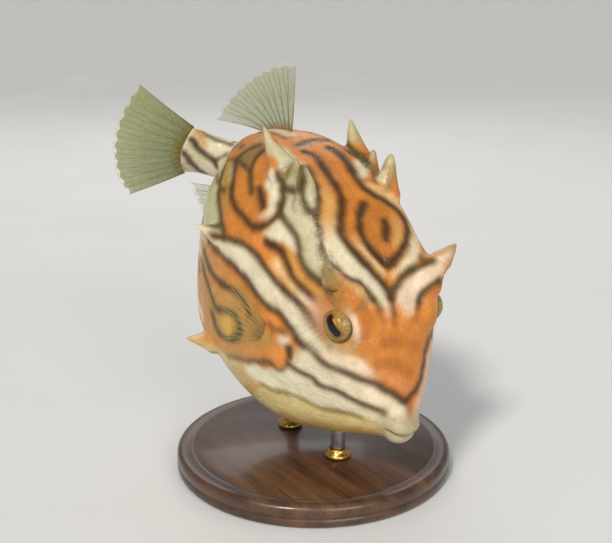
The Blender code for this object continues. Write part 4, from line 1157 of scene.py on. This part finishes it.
def open_sockets(points):
    """Draw the skin in under both eyeballs, so that nothing covers their openings."""
    axis = np.array(Vector(LID_AXIS).normalized())
    for side in (1, -1):
        flip = np.array((1, side, 1))
        from_eye = points - np.array(EYE_CENTRE) * flip
        far = np.linalg.norm(from_eye, axis=1)
        lean = np.degrees(np.arccos(np.clip(from_eye @ (axis * flip) / np.maximum(far, 1e-6), -1, 1)))
        inside = (1 - smoothstep(OPENING - 8, OPENING + 4, lean)) * (far < 12)
        goal = np.minimum(far, EYE_RADIUS - UNDER_EYE)
        shift = (goal - far) / np.maximum(far, 1e-6) * inside
        points = points + from_eye * shift[:, None]
    return points


def evened(mesh, colour, groove, rounds=2):
    """Paint and groove averaged with the vertices next to them, against ragged edges."""
    edges = np.empty(len(mesh.edges) * 2, dtype=np.int64)
    mesh.edges.foreach_get("vertices", edges)
    a, b = edges.reshape(-1, 2).T
    count = np.bincount(edges, minlength=len(mesh.vertices))[:, None] + 2
    both = np.column_stack((colour, groove))
    for _ in range(rounds):
        total = 2 * both
        for k in range(both.shape[1]):
            for here, there in ((a, b), (b, a)):
                total[:, k] += np.bincount(here, both[there, k], len(both))
        both = total / count
    return both[:, :3], both[:, 3]


def make_skin():
    """The painted skin, and the tree of its faces for strokes on pieces that join it."""
    skin = build_skin()
    skin.data.vertices.foreach_set("co", open_sockets(coords(skin.data)).ravel())
    skin.data.update()
    points, outward = coords(skin.data), normals(skin.data)
    tree = face_tree(points, skin.data)
    colour, groove = evened(skin.data, *markings(points, outward, tree))
    shaped = shape_skin(points, outward, groove)
    skin.data.vertices.foreach_set("co", shaped.ravel())
    set_paint(skin, colour)
    smooth_faces(skin)
    return skin, tree


def make_horn(tree, side):
    """Horn bone, from inside its sheath of skin to the tip."""
    bm = thorn(HORN_BASE, HORN_TIP, HORN_RADIUS, HORN_BLUNT, start=HORN_ROOT, sides=64, rings=70,
               taper=HORN_TAPER)
    if side == "left":
        mirrored(bm)
    horn = new_object("horn_" + side + "_bone", bm)
    set_paint(horn, markings(coords(horn.data), normals(horn.data), tree)[0])
    smooth_faces(horn)
    return horn


def make_eye(side):
    """Eyeball with a swelling cornea over a streaked golden iris and a crescent pupil."""
    bm = ball(EYE_CENTRE, (EYE_RADIUS,) * 3, axis=PUPIL_AXIS, segments=160, rings=110)
    eye = new_object("eyeball_" + side, bm)
    points = coords(eye.data)
    centre = np.array(EYE_CENTRE)
    axis = np.array(Vector(PUPIL_AXIS).normalized())
    out = (points - centre) / EYE_RADIUS
    lean = np.degrees(np.arccos(np.clip(out @ axis, -1, 1)))
    turn = Vector(PUPIL_AXIS).to_track_quat("Z", "Y").to_matrix()
    across = out @ np.array(turn)
    around = np.arctan2(across[:, 1], across[:, 0])
    streak = 0.5 + 0.3 * np.sin(around * 23 + 1.3 * np.sin(around * 5)) + 0.2 * np.sin(around * 41 + 2)
    painter = Painter(points, face_tree(points, eye.data), EYE_RIM)
    painter.wash(1 - smoothstep(54, 64, lean), EYE_DARK)
    iris = 1 - smoothstep(44, 56, lean)
    painter.wash(iris, IRIS)
    painter.wash(iris * streak * 0.6, IRIS_STREAK)
    painter.wash(iris * (1 - smoothstep(18, 30, lean)) * 0.5, IRIS_GOLD)
    path = painter.drop(PUPIL)
    painter.stroke(path, PUPIL_RIM, 1.5, 0.5, 0.8)
    painter.stroke(path, PUPIL_BLACK, 0.95, 0.22, 1.0)
    painter.stroke(painter.drop(IRIS_FLECK), BRIGHT_ORANGE, 0.22, 0.2, 0.9)
    bulge = CORNEA_RISE * (1 - smoothstep(20, 50, lean))
    points = points + out * bulge[:, None]
    eye.data.vertices.foreach_set("co", points.ravel())
    set_paint(eye, painter.colour)
    smooth_faces(eye)
    if side == "left":
        flip_side(eye)
    return eye


def flip_side(obj):
    """Mirror an object's mesh to the left side."""
    obj.data.transform(Matrix.Diagonal((1, -1, 1, 1)))
    obj.data.flip_normals()


# Fins: each has a surface point(t, s), t from its first to its last ray, s from root to margin


def caudal(t, s):
    """Tail fin, from its upper to its lower edge."""
    q = 1 - 2 * t
    angle = math.radians(CAUDAL_MIDDLE + CAUDAL_SPREAD * q)
    length = CAUDAL_LENGTH + CAUDAL_UPPER * q + CAUDAL_CORNERS * q * q
    tail_end, tail_dir = TAIL[-1]
    tail_up, _ = upright(tail_dir)
    fan_dir = direction(CAUDAL_YAW, CAUDAL_DROP)
    fan_up, fan_side = upright(fan_dir)
    root = (tail_end + tail_dir * (end_reach(q) - FIN_SUNK)
            + tail_up * (END_HIGH * q - END_LOW))
    d = fan_dir * math.cos(angle) + fan_up * math.sin(angle)
    return root + d * (length + MARGIN_OUT) * s + fan_side * CAUDAL_CUP * s * s


def mid_fin(values, t, s, profile, sunk, belly):
    """Upright fin on the middle line, its foot on a profile of the body."""
    first_x, foot, angle, fan, reach, more, bend, more_bend = values
    x = first_x - foot * t
    a = math.radians(angle + fan * t)
    reach = (reach + more * belly) * s
    return Vector((x + reach * math.cos(a), (bend + more_bend * t) * s * s,
                   float(at(profile, x)) - sunk + reach * math.sin(a)))


def dorsal(t, s):
    """Fin of the back, from its front to its rear ray."""
    return mid_fin(DORSAL, t, s, TOP, MID_FIN_SUNK, math.sin(math.pi * t))


def anal(t, s):
    """Fin under the stalk, from its front to its rear ray."""
    return mid_fin(ANAL, t, s, KEEL, -MID_FIN_SUNK, t)


def flank_y(x, z):
    """How far out the right side stands at station x and height z."""
    pts = half_section(x, (4, 6, 6, 8))
    for a, b in zip(pts, pts[1:]):
        if a[1] >= z >= b[1]:
            return a[0] + (b[0] - a[0]) * (a[1] - z) / max(a[1] - b[1], 1e-6)
    return pts[0][0]


def pectoral(t, s):
    """Fin of the right flank, from its upper to its lower ray."""
    x, z = PECTORAL_X - abs(t - 0.5), PECTORAL_Z - PECTORAL_FOOT * t
    root = Vector((x, flank_y(x, z) - FIN_SUNK, z))
    a = math.radians(PECTORAL_ANGLE - PECTORAL_FAN * t)
    d = Vector((-math.cos(a) * PECTORAL_BACK, -PECTORAL_OUT, math.sin(a))).normalized()
    return root + d * (PECTORAL_LENGTH - PECTORAL_ROUND * abs(t - 0.4)) * s


def fin_frame(point, t, s):
    """Point, and the fin's facing direction there."""
    p = point(t, s)
    along = point(t, min(s + 0.02, 1.0)) - point(t, max(s - 0.02, 0.0))
    across = point(min(t + 0.01, 1.0), s) - point(max(t - 0.01, 0.0), s)
    return p, along.cross(across).normalized()


def tube(path, radii, sides=8):
    """Tapered closed tube along a path."""
    rings = []
    for i, p in enumerate(path):
        d = (path[min(i + 1, len(path) - 1)] - path[max(i - 1, 0)]).normalized()
        u = d.orthogonal().normalized()
        if rings:
            u = (last_u - d * last_u.dot(d)).normalized()
        v = d.cross(u)
        last_u = u
        rings.append([p + (u * math.cos(a) + v * math.sin(a)) * radii[i] for a in circle(sides)])
    return loft(rings)


# Parts of a branched ray: from and to as shares of its length, and the branches side by side.
# A branch ends SPLIT of the gap between rays off its stem, and a twig TWIG more or less than that
RAY_PARTS = [(0.0, 0.42, (0,)), (0.40, 0.70, (-1, 1)), (0.68, 1.0, (-3, -1, 1, 3))]
EDGE_RAY = [(0.0, 1.0, (0,))]
SPLIT, TWIG, EDGE_INSET = 0.22, 0.10, 0.004


def branch_shift(place, low, s):
    """How far a branch stands off its ray's middle line, as a share of the gap between rays."""
    if low == 0.0:
        return 0.0
    if low < 0.5:
        return place * SPLIT * smoothstep(0.36, 0.74, s)
    twig = TWIG if abs(place) == 3 else -TWIG
    return math.copysign(1, place) * (SPLIT + twig * smoothstep(0.66, 1.04, s))


def ray_tubes(point, count, thick, steps=12):
    """Soft rays: a stem that parts in two, and each half in two again."""
    gap = 1 / (count - 1)
    tubes = []
    for k in range(count):
        inset = EDGE_INSET * ((k == 0) - (k == count - 1))
        for low, high, places in EDGE_RAY if inset else RAY_PARTS:
            for place in places:
                path, radii = [], []
                for i in range(steps + 1):
                    s = low + (high - low) * i / steps
                    t = k * gap + inset + gap * branch_shift(place, low, s)
                    path.append(point(min(max(t, 0.0), 1.0), s))
                    radii.append(thick * (1 - 0.80 * s ** 0.8))
                tubes.append(tube(path, radii))
    return tubes


def membrane(point, count, thick, columns=8, rows=40):
    """Thin closed web between the rays, notched a little between their tips."""
    n = (count - 1) * columns
    front, back = [], []
    bm = bmesh.new()
    for c in range(n + 1):
        t = c / n
        notch = math.sin(math.pi * (c % columns) / columns) if c % columns else 0.0
        edge = 0.975 - 0.035 * notch
        f_row, b_row = [], []
        for i in range(rows + 1):
            s = edge * i / rows
            p, facing = fin_frame(point, t, s)
            half = thick * (1 - 0.6 * s) / 2
            f_row.append(bm.verts.new(p + facing * half))
            b_row.append(bm.verts.new(p - facing * half))
        front.append(f_row)
        back.append(b_row)
    for c in range(n):
        for i in range(rows):
            bm.faces.new((front[c][i], front[c + 1][i], front[c + 1][i + 1], front[c][i + 1]))
            bm.faces.new((back[c][i + 1], back[c + 1][i + 1], back[c + 1][i], back[c][i]))
        bm.faces.new((front[c][0], back[c][0], back[c + 1][0], front[c + 1][0]))
        bm.faces.new((front[c][rows], front[c + 1][rows], back[c + 1][rows], back[c][rows]))
    for i in range(rows):
        bm.faces.new((front[0][i], front[0][i + 1], back[0][i + 1], back[0][i]))
        bm.faces.new((front[n][i], back[n][i], back[n][i + 1], front[n][i + 1]))
    bmesh.ops.recalc_face_normals(bm, faces=bm.faces)
    return bm


def share_of_fin(points, point, samples=30):
    """Share 0 root to 1 margin of every vertex, by its nearest place on the fin."""
    steps = np.linspace(0, 1, samples)
    places = np.array([point(t, s) for t in steps for s in steps])
    shares = np.tile(steps, samples)
    out = []
    for block in np.array_split(points, len(points) // 2000 + 1):
        near = ((block[:, None, :] - places[None]) ** 2).sum(axis=2).argmin(axis=1)
        out.append(shares[near])
    return np.concatenate(out)


def blend_colours(stops, share):
    """Colour along a list of (share, colour) stops."""
    xs = [s for s, _ in stops]
    return np.stack([np.interp(share, xs, [c[k] for _, c in stops]) for k in range(3)], axis=1)


def make_fin(name, point, root_colour, count, thick, web, opacity):
    """Rays and web of one fin, as two pieces."""
    rays = joined(name + "_rays", ray_tubes(point, count, thick))
    share = share_of_fin(coords(rays.data), point)
    set_paint(rays, blend_colours([(0.0, root_colour), (0.22, RAY_OLIVE), (1.0, RAY_YELLOW)], share))
    sheet = new_object(name + "_web", membrane(point, count, web))
    share = share_of_fin(coords(sheet.data), point)
    colour = blend_colours([(0.0, root_colour), (0.18, WEB_OLIVE), (1.0, WEB_YELLOW)], share)
    set_paint(sheet, colour, np.interp(share, [0, 0.15, 1], opacity))
    for piece in (rays, sheet):
        smooth_faces(piece)
        if name.endswith("left"):
            flip_side(piece)
    return rays, sheet


def turned(profile, sides=160):
    """Solid of revolution round Z from (radius, height) points, both ends on the axis."""
    bm = bmesh.new()
    rows = []
    for r, z in profile:
        if r == 0:
            rows.append([bm.verts.new((0, 0, z))])
        else:
            rows.append([bm.verts.new((r * math.cos(a), r * math.sin(a), z)) for a in circle(sides)])
    for low, high in zip(rows, rows[1:]):
        for k in range(sides):
            m = (k + 1) % sides
            if len(low) == 1:
                bm.faces.new((low[0], high[m], high[k]))
            elif len(high) == 1:
                bm.faces.new((low[k], low[m], high[0]))
            else:
                bm.faces.new((low[k], low[m], high[m], high[k]))
    bmesh.ops.recalc_face_normals(bm, faces=bm.faces)
    return bm


# Plinth, in metres: rounding of its foot and shoulder, the cut line round its side and the one on top
FOOT_ROUND, SHOULDER_ROUND = 0.0012, 0.0016
SIDE_LINE_UP, SIDE_LINE_HALF, SIDE_LINE_DEEP = 0.0026, 0.0003, 0.00045
TOP_LINE_IN, TOP_LINE_HALF, TOP_LINE_DEEP = 0.0042, 0.0004, 0.0003

# Ferrule, in metres: how far each point stands off the rod and above the base
FERRULE = [(0.0001, 0), (0.0016, 0), (0.0017, 0.0005), (0.0014, 0.0011), (0.0009, 0.0013),
           (0.0008, 0.0022), (0.0004, 0.0026), (0.0001, 0.0026)]


def make_plinth():
    """Turned base with a rounded foot, a cut line and a rounded shoulder."""
    low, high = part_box("stand_base")
    radius = (high.x - low.x) / 2
    top = high.z
    foot, shoulder = radius - FOOT_ROUND, radius - SHOULDER_ROUND
    profile = [(0, low.z), (foot, low.z)]
    profile += [(foot + FOOT_ROUND * math.sin(a), low.z + FOOT_ROUND - FOOT_ROUND * math.cos(a))
                for a in np.linspace(0.2, math.pi / 2, 6)]
    line = low.z + SIDE_LINE_UP
    profile += [(radius, line - SIDE_LINE_HALF), (radius - SIDE_LINE_DEEP, line),
                (radius, line + SIDE_LINE_HALF)]
    profile += [(shoulder + SHOULDER_ROUND * math.cos(a),
                 top - SHOULDER_ROUND + SHOULDER_ROUND * math.sin(a))
                for a in np.linspace(0, math.pi / 2, 10)]
    ring = radius - TOP_LINE_IN
    profile += [(ring + TOP_LINE_HALF, top), (ring, top - TOP_LINE_DEEP), (ring - TOP_LINE_HALF, top),
                (0, top)]
    return set_up("plinth", turned(profile), low, high)


def make_ferrule(node):
    """Small brass collar where a rod enters the base."""
    low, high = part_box(node)
    rod = (high.x - low.x) / 2
    profile = [(rod + out, low.z + up) for out, up in FERRULE]
    return set_up(node.replace("stand_rod", "ferrule"), turned(profile, 72), low, high)


def set_up(name, bm, low, high):
    """Object of a turned mesh, moved over the middle of a box of the stand."""
    obj = new_object(name, bm)
    obj.data.transform(Matrix.Translation(((low.x + high.x) / 2, (low.y + high.y) / 2, 0)))
    smooth_faces(obj)
    return obj


class Shader:
    """A node material with a Principled surface, and short calls for the nodes it needs."""

    def __init__(self, name, **values):
        self.material = bpy.data.materials.new(name)
        self.material.use_nodes = True
        self.tree = self.material.node_tree
        self.surface = self.tree.nodes["Principled BSDF"]
        self.place = self.add("ShaderNodeTexCoord").outputs["Object"]
        self.feed(self.surface, **values)

    def add(self, kind, **settings):
        """New node of a kind, with its settings."""
        node = self.tree.nodes.new(kind)
        for key, value in settings.items():
            setattr(node, key, value)
        return node

    def feed(self, node, **values):
        """Give a node's sockets numbers, colours or what other nodes put out.

        A socket goes by its name, with _ for a space, or by its number after a leading _.
        """
        for key, value in values.items():
            socket = node.inputs[int(key[1:])] if key[0] == "_" else node.inputs[key.replace("_", " ")]
            if isinstance(value, bpy.types.NodeSocket):
                self.tree.links.new(value, socket)
            elif isinstance(value, tuple) and len(socket.default_value) == 4:
                socket.default_value = (*value, 1.0)
            else:
                socket.default_value = value
        return node

    def noise(self, scale, detail=3.0, rough=0.55, place=None):
        """Cloudy value from 0 to 1, with a scale per metre."""
        node = self.add("ShaderNodeTexNoise")
        self.feed(node, Scale=scale, Detail=detail, Roughness=rough, Vector=place or self.place)
        return node.outputs["Fac"]

    def cells(self, scale):
        """Distance to the nearest of scattered points, for grains."""
        node = self.feed(self.add("ShaderNodeTexVoronoi"), Scale=scale, Vector=self.place)
        return node.outputs["Distance"]

    def stretched(self, *scale):
        """Place with its axes scaled."""
        return self.feed(self.add("ShaderNodeMapping"), Scale=scale, Vector=self.place).outputs["Vector"]

    def span(self, value, low, high, to_low=0.0, to_high=1.0):
        """Value carried from one range to another."""
        node = self.add("ShaderNodeMapRange")
        self.feed(node, From_Min=low, From_Max=high, To_Min=to_low, To_Max=to_high, Value=value)
        return node.outputs["Result"]

    def mix(self, factor, a, b, blend="MIX"):
        """Colour a towards b, or multiplied by it."""
        node = self.add("ShaderNodeMix", data_type="RGBA", blend_type=blend)
        return self.feed(node, _0=factor, _6=a, _7=b).outputs[2]

    def ramp(self, value, stops):
        """Colours by value, from (value, colour) stops."""
        node = self.add("ShaderNodeValToRGB")
        points = node.color_ramp.elements
        while len(points) < len(stops):
            points.new(0.5)
        for point, (where, colour) in zip(points, stops):
            point.position = where
            point.color = (*colour, 1.0)
        return self.feed(node, Fac=value).outputs["Color"]

    def product(self, a, b):
        """Two values multiplied."""
        return self.feed(self.add("ShaderNodeMath", operation="MULTIPLY"), _0=a, _1=b).outputs[0]

    def relief(self, height, distance, strength, before=None):
        """Normal raised by a height, on top of another relief's."""
        node = self.feed(self.add("ShaderNodeBump"), Strength=strength, Distance=distance, Height=height)
        if before:
            self.feed(node, Normal=before)
        return node.outputs["Normal"]

    def painted(self):
        """The colour that set_paint() stored."""
        return self.add("ShaderNodeVertexColor", layer_name="paint")

    def cloudy(self, colour):
        """Colour with slow darker clouds."""
        cloud = self.ramp(self.noise(240, 4.0), [(0.3, (0.80, 0.78, 0.74)), (0.7, (1.0, 1.0, 1.0))])
        return self.mix(1.0, colour, cloud, "MULTIPLY")

    def finish(self, colour, roughness=None, normal=None, alpha=None):
        """Link what the surface needs, and give the material."""
        values = {"Base_Color": colour, "Roughness": roughness, "Normal": normal, "Alpha": alpha}
        self.feed(self.surface, **{key: value for key, value in values.items() if value})
        return self.material


def skin_material():
    """Painted skin: cloudy and speckled colour, fine grains, a wet coat."""
    s = Shader("skin", Coat_Weight=0.18, Coat_Roughness=0.22, Specular_IOR_Level=0.28)
    paint = s.painted().outputs["Color"]
    colour = s.cloudy(paint)
    red = s.feed(s.add("ShaderNodeSeparateColor"), _0=paint).outputs[0]
    specks = s.product(s.span(s.noise(1300, 3.0, 0.7), 0.50, 0.80, 0.0, 0.17), red)
    colour = s.mix(specks, colour, (0.95, 0.84, 0.62))
    colour = s.mix(s.span(s.noise(700, 3.0), 0.30, 0.42, 0.10, 0.0), colour, (0.16, 0.10, 0.04))
    bumps = s.span(s.cells(1150), 0.0, 0.75, 1.0, 0.0)
    normal = s.relief(bumps, 0.00012, 0.8)
    normal = s.relief(s.noise(420, 4.0), 0.00014, 0.6, normal)
    rough = s.span(s.noise(700, 2.0), 0.3, 0.7, 0.30, 0.50)
    return s.finish(colour, rough, normal)


def horn_material():
    """Smooth horn with faint streaks along it."""
    s = Shader("horn", Coat_Weight=0.22, Coat_Roughness=0.25, Specular_IOR_Level=0.35)
    paint = s.cloudy(s.painted().outputs["Color"])
    streaks = s.noise(900, 3.0, 0.6, s.stretched(1.0, 1.0, 0.25))
    colour = s.mix(s.span(streaks, 0.4, 0.7, 0.0, 0.16), paint, (0.40, 0.36, 0.22))
    normal = s.relief(streaks, 0.00008, 0.6)
    return s.finish(colour, s.span(streaks, 0.3, 0.7, 0.30, 0.46), normal)


def eye_material():
    """Wet eye with golden flakes."""
    s = Shader("eye", Coat_Weight=0.4, Coat_Roughness=0.04, Specular_IOR_Level=0.25)
    paint = s.painted().outputs["Color"]
    flakes = s.noise(2600, 3.0, 0.7)
    shade = s.ramp(flakes, [(0.35, (0.62, 0.60, 0.52)), (0.7, (1.0, 1.0, 0.9))])
    colour = s.mix(1.0, paint, shade, "MULTIPLY")
    normal = s.relief(flakes, 0.00003, 0.4)
    return s.finish(colour, s.span(flakes, 0.3, 0.7, 0.16, 0.30), normal)


def ray_material():
    """Jointed fin rays."""
    s = Shader("fin_ray", Coat_Weight=0.2, Coat_Roughness=0.3)
    paint = s.painted().outputs["Color"]
    joints = s.noise(1600, 2.0)
    colour = s.mix(s.span(joints, 0.4, 0.7, 0.0, 0.4), paint, (0.30, 0.27, 0.10))
    return s.finish(colour, s.span(joints, 0.3, 0.7, 0.35, 0.5), s.relief(joints, 0.00005, 0.6))


def web_material():
    """Thin skin between the rays, more or less clear."""
    s = Shader("fin_web", Coat_Weight=0.2, Coat_Roughness=0.2)
    paint = s.painted()
    wrinkles = s.noise(700, 3.0)
    colour = s.mix(s.span(wrinkles, 0.4, 0.7, 0.0, 0.35), paint.outputs["Color"], (0.42, 0.44, 0.18))
    alpha = s.product(paint.outputs["Alpha"], s.span(wrinkles, 0.3, 0.7, 0.85, 1.15))
    normal = s.relief(wrinkles, 0.00006, 0.6)
    return s.finish(colour, s.span(wrinkles, 0.3, 0.7, 0.35, 0.5), normal, alpha)


def wood_material():
    """Dark oiled walnut, grain along X."""
    s = Shader("walnut", Coat_Weight=0.3, Coat_Roughness=0.12)
    grain = s.noise(160, 6.0, 0.6, s.stretched(0.12, 1.0, 1.0))
    pores = s.noise(1400, 2.0, 0.5, s.stretched(0.06, 1.0, 1.0))
    colour = s.ramp(grain, [(0.30, srgb(48, 30, 20)), (0.5, srgb(78, 50, 32)),
                            (0.70, srgb(104, 70, 44))])
    colour = s.mix(s.span(pores, 0.30, 0.45, 0.6, 0.0), colour, srgb(30, 18, 12))
    return s.finish(colour, s.span(grain, 0.3, 0.7, 0.30, 0.42), s.relief(pores, 0.00006, 0.5))


def steel_material():
    """Brushed steel, brushed round the rod."""
    s = Shader("brushed_steel", Metallic=1.0)
    lines = s.noise(2600, 3.0, 0.6, s.stretched(0.15, 0.15, 1.0))
    colour = s.ramp(lines, [(0.3, (0.42, 0.42, 0.43)), (0.7, (0.62, 0.62, 0.63))])
    return s.finish(colour, s.span(lines, 0.3, 0.7, 0.24, 0.40), s.relief(lines, 0.00003, 0.5))


def brass_material():
    """Brass, a little worn."""
    s = Shader("brass", Metallic=1.0)
    wear = s.noise(1200, 4.0)
    colour = s.ramp(wear, [(0.35, srgb(176, 132, 62)), (0.7, srgb(214, 176, 96))])
    return s.finish(colour, s.span(wear, 0.3, 0.7, 0.2, 0.38))


def floor_material():
    """Pale matt studio floor."""
    s = Shader("studio_floor", Roughness=0.75)
    tone = s.noise(9, 3.0)
    return s.finish(s.ramp(tone, [(0.3, (0.70, 0.70, 0.69)), (0.7, (0.73, 0.73, 0.72))]))


# Studio, in metres: half the floor's side and its gap under the stand, and the nearest thing seen.
# The camera's sensor is in millimetres
FLOOR_HALF, FLOOR_GAP, NEAREST = 40.0, 0.0002, 0.01
SENSOR_WIDE = 36.0


def dress(obj, material, slot, *nodes):
    """Material, body and the CAD nodes that the piece stands for; slot is not used."""
    obj.data.materials.clear()
    obj.data.materials.append(material)
    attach(obj, "root")
    if nodes:
        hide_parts(*nodes)


def add_light(name, kind, place, power, colour=(1, 1, 1), **settings):
    """Light aimed at the middle of the fish."""
    data = bpy.data.lights.new(name, kind)
    data.energy = power
    data.color = colour
    for key, value in settings.items():
        setattr(data, key, value)
    light = bpy.data.objects.new(name, data)
    light.location = place
    aim_at = Vector((0, 0, HOVER * MM))
    light.rotation_euler = (aim_at - Vector(place)).to_track_quat("-Z", "Y").to_euler()
    bpy.context.scene.collection.objects.link(light)


def studio_air():
    """Surroundings: pale at the horizon, where the floor meets them, and a little darker overhead."""
    world = bpy.data.worlds.new("studio")
    world.use_nodes = True
    tree = world.node_tree
    place = tree.nodes.new("ShaderNodeTexCoord")
    split = tree.nodes.new("ShaderNodeSeparateXYZ")
    ramp = tree.nodes.new("ShaderNodeValToRGB")
    stops = ramp.color_ramp.elements
    middle = stops.new(0.14)
    stops[0].position, stops[0].color = 0.0, (0.52, 0.51, 0.50, 1)
    middle.color = (0.36, 0.36, 0.37, 1)
    stops[2].position, stops[2].color = 0.9, (0.26, 0.27, 0.28, 1)
    tree.links.new(place.outputs["Generated"], split.inputs[0])
    tree.links.new(split.outputs["Z"], ramp.inputs["Fac"])
    tree.links.new(ramp.outputs["Color"], tree.nodes["Background"].inputs["Color"])
    return world


def make_studio():
    """Floor just under the stand, one soft sun and two large lamps."""
    bm = bmesh.new()
    bmesh.ops.create_grid(bm, x_segments=8, y_segments=8, size=FLOOR_HALF)
    floor = new_object("floor", bm)
    floor.location.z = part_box("stand_base")[0].z - FLOOR_GAP
    floor.data.materials.append(floor_material())
    add_light("key", "SUN", (0.30, -0.50, 0.62), 2.1, (1.0, 0.96, 0.90), angle=math.radians(10))
    add_light("front", "AREA", (0.60, -0.10, 0.30), 1.4, size=0.30)
    add_light("rim", "AREA", (-0.5, 0.25, 0.55), 1.2, size=0.5)
    bpy.context.scene.world = studio_air()
    bpy.context.scene.view_settings.view_transform = "Standard"


def make_camera():
    """The photograph's camera, moved with the fish over the stand."""
    data = bpy.data.cameras.new("camera")
    data.sensor_fit = "HORIZONTAL"
    data.sensor_width = SENSOR_WIDE
    data.lens = PHOTO_FOCAL * data.sensor_width / PHOTO_WIDE
    data.clip_start = NEAREST
    camera = bpy.data.objects.new("camera", data)
    turn = Matrix((EYE_RIGHT, EYE_UP, -EYE_AHEAD)).transposed().to_4x4()
    camera.matrix_world = Matrix.Translation((EYE_AT + Vector((0, 0, HOVER))) * MM) @ turn
    bpy.context.scene.collection.objects.link(camera)
    bpy.context.scene.camera = camera


# Name, surface, colour of the root, rays, thickness of a ray and of the web at the root,
# web opacity at root, near it and at the margin
FINS = [
    ("caudal_fin", caudal, ROOT_OLIVE, 11, 0.30, 0.26, (0.95, 0.62, 0.44)),
    ("dorsal_fin", dorsal, ROOT_BROWN, 10, 0.24, 0.22, (0.8, 0.36, 0.20)),
    ("anal_fin", anal, ROOT_BROWN, 9, 0.24, 0.22, (0.8, 0.36, 0.20)),
    ("pectoral_fin_right", pectoral, ROOT_BROWN, 10, 0.10, 0.14, (0.3, 0.04, 0.03)),
    ("pectoral_fin_left", pectoral, ROOT_BROWN, 10, 0.10, 0.14, (0.3, 0.04, 0.03)),
]


def dress_fish():
    """Skin, horns, eyes and fins, set over the stand."""
    horn_look, eye_look, ray_look, web_look = (
        horn_material(), eye_material(), ray_material(), web_material())
    skin, tree = make_skin()
    skin.data.transform(PLACE)
    dress(skin, skin_material(), "body_skin", "head", "carapace", "peduncle", "upper_lip", "lower_lip")
    for side in ("right", "left"):
        horn, eye = make_horn(tree, side), make_eye(side)
        horn.data.transform(PLACE)
        eye.data.transform(PLACE)
        dress(horn, horn_look, "spine", "horn_" + side)
        dress(eye, eye_look, "eye", "eye_" + side)
    for name, *values in FINS:
        rays, web = make_fin(name, *values)
        rays.data.transform(PLACE)
        web.data.transform(PLACE)
        dress(rays, ray_look, "fin")
        dress(web, web_look, "fin", name)


def dress_stand():
    """Plinth over the CAD base, steel on the CAD rods and a ferrule on each."""
    dress(make_plinth(), wood_material(), "stand_wood", "stand_base")
    steel, brass = steel_material(), brass_material()
    for node in ("stand_rod_front", "stand_rod_rear"):
        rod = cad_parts[node]
        rod.data.materials.clear()
        rod.data.materials.append(steel)
        dress(make_ferrule(node), brass, "stand_steel")


dress_fish()
dress_stand()
make_studio()
make_camera()
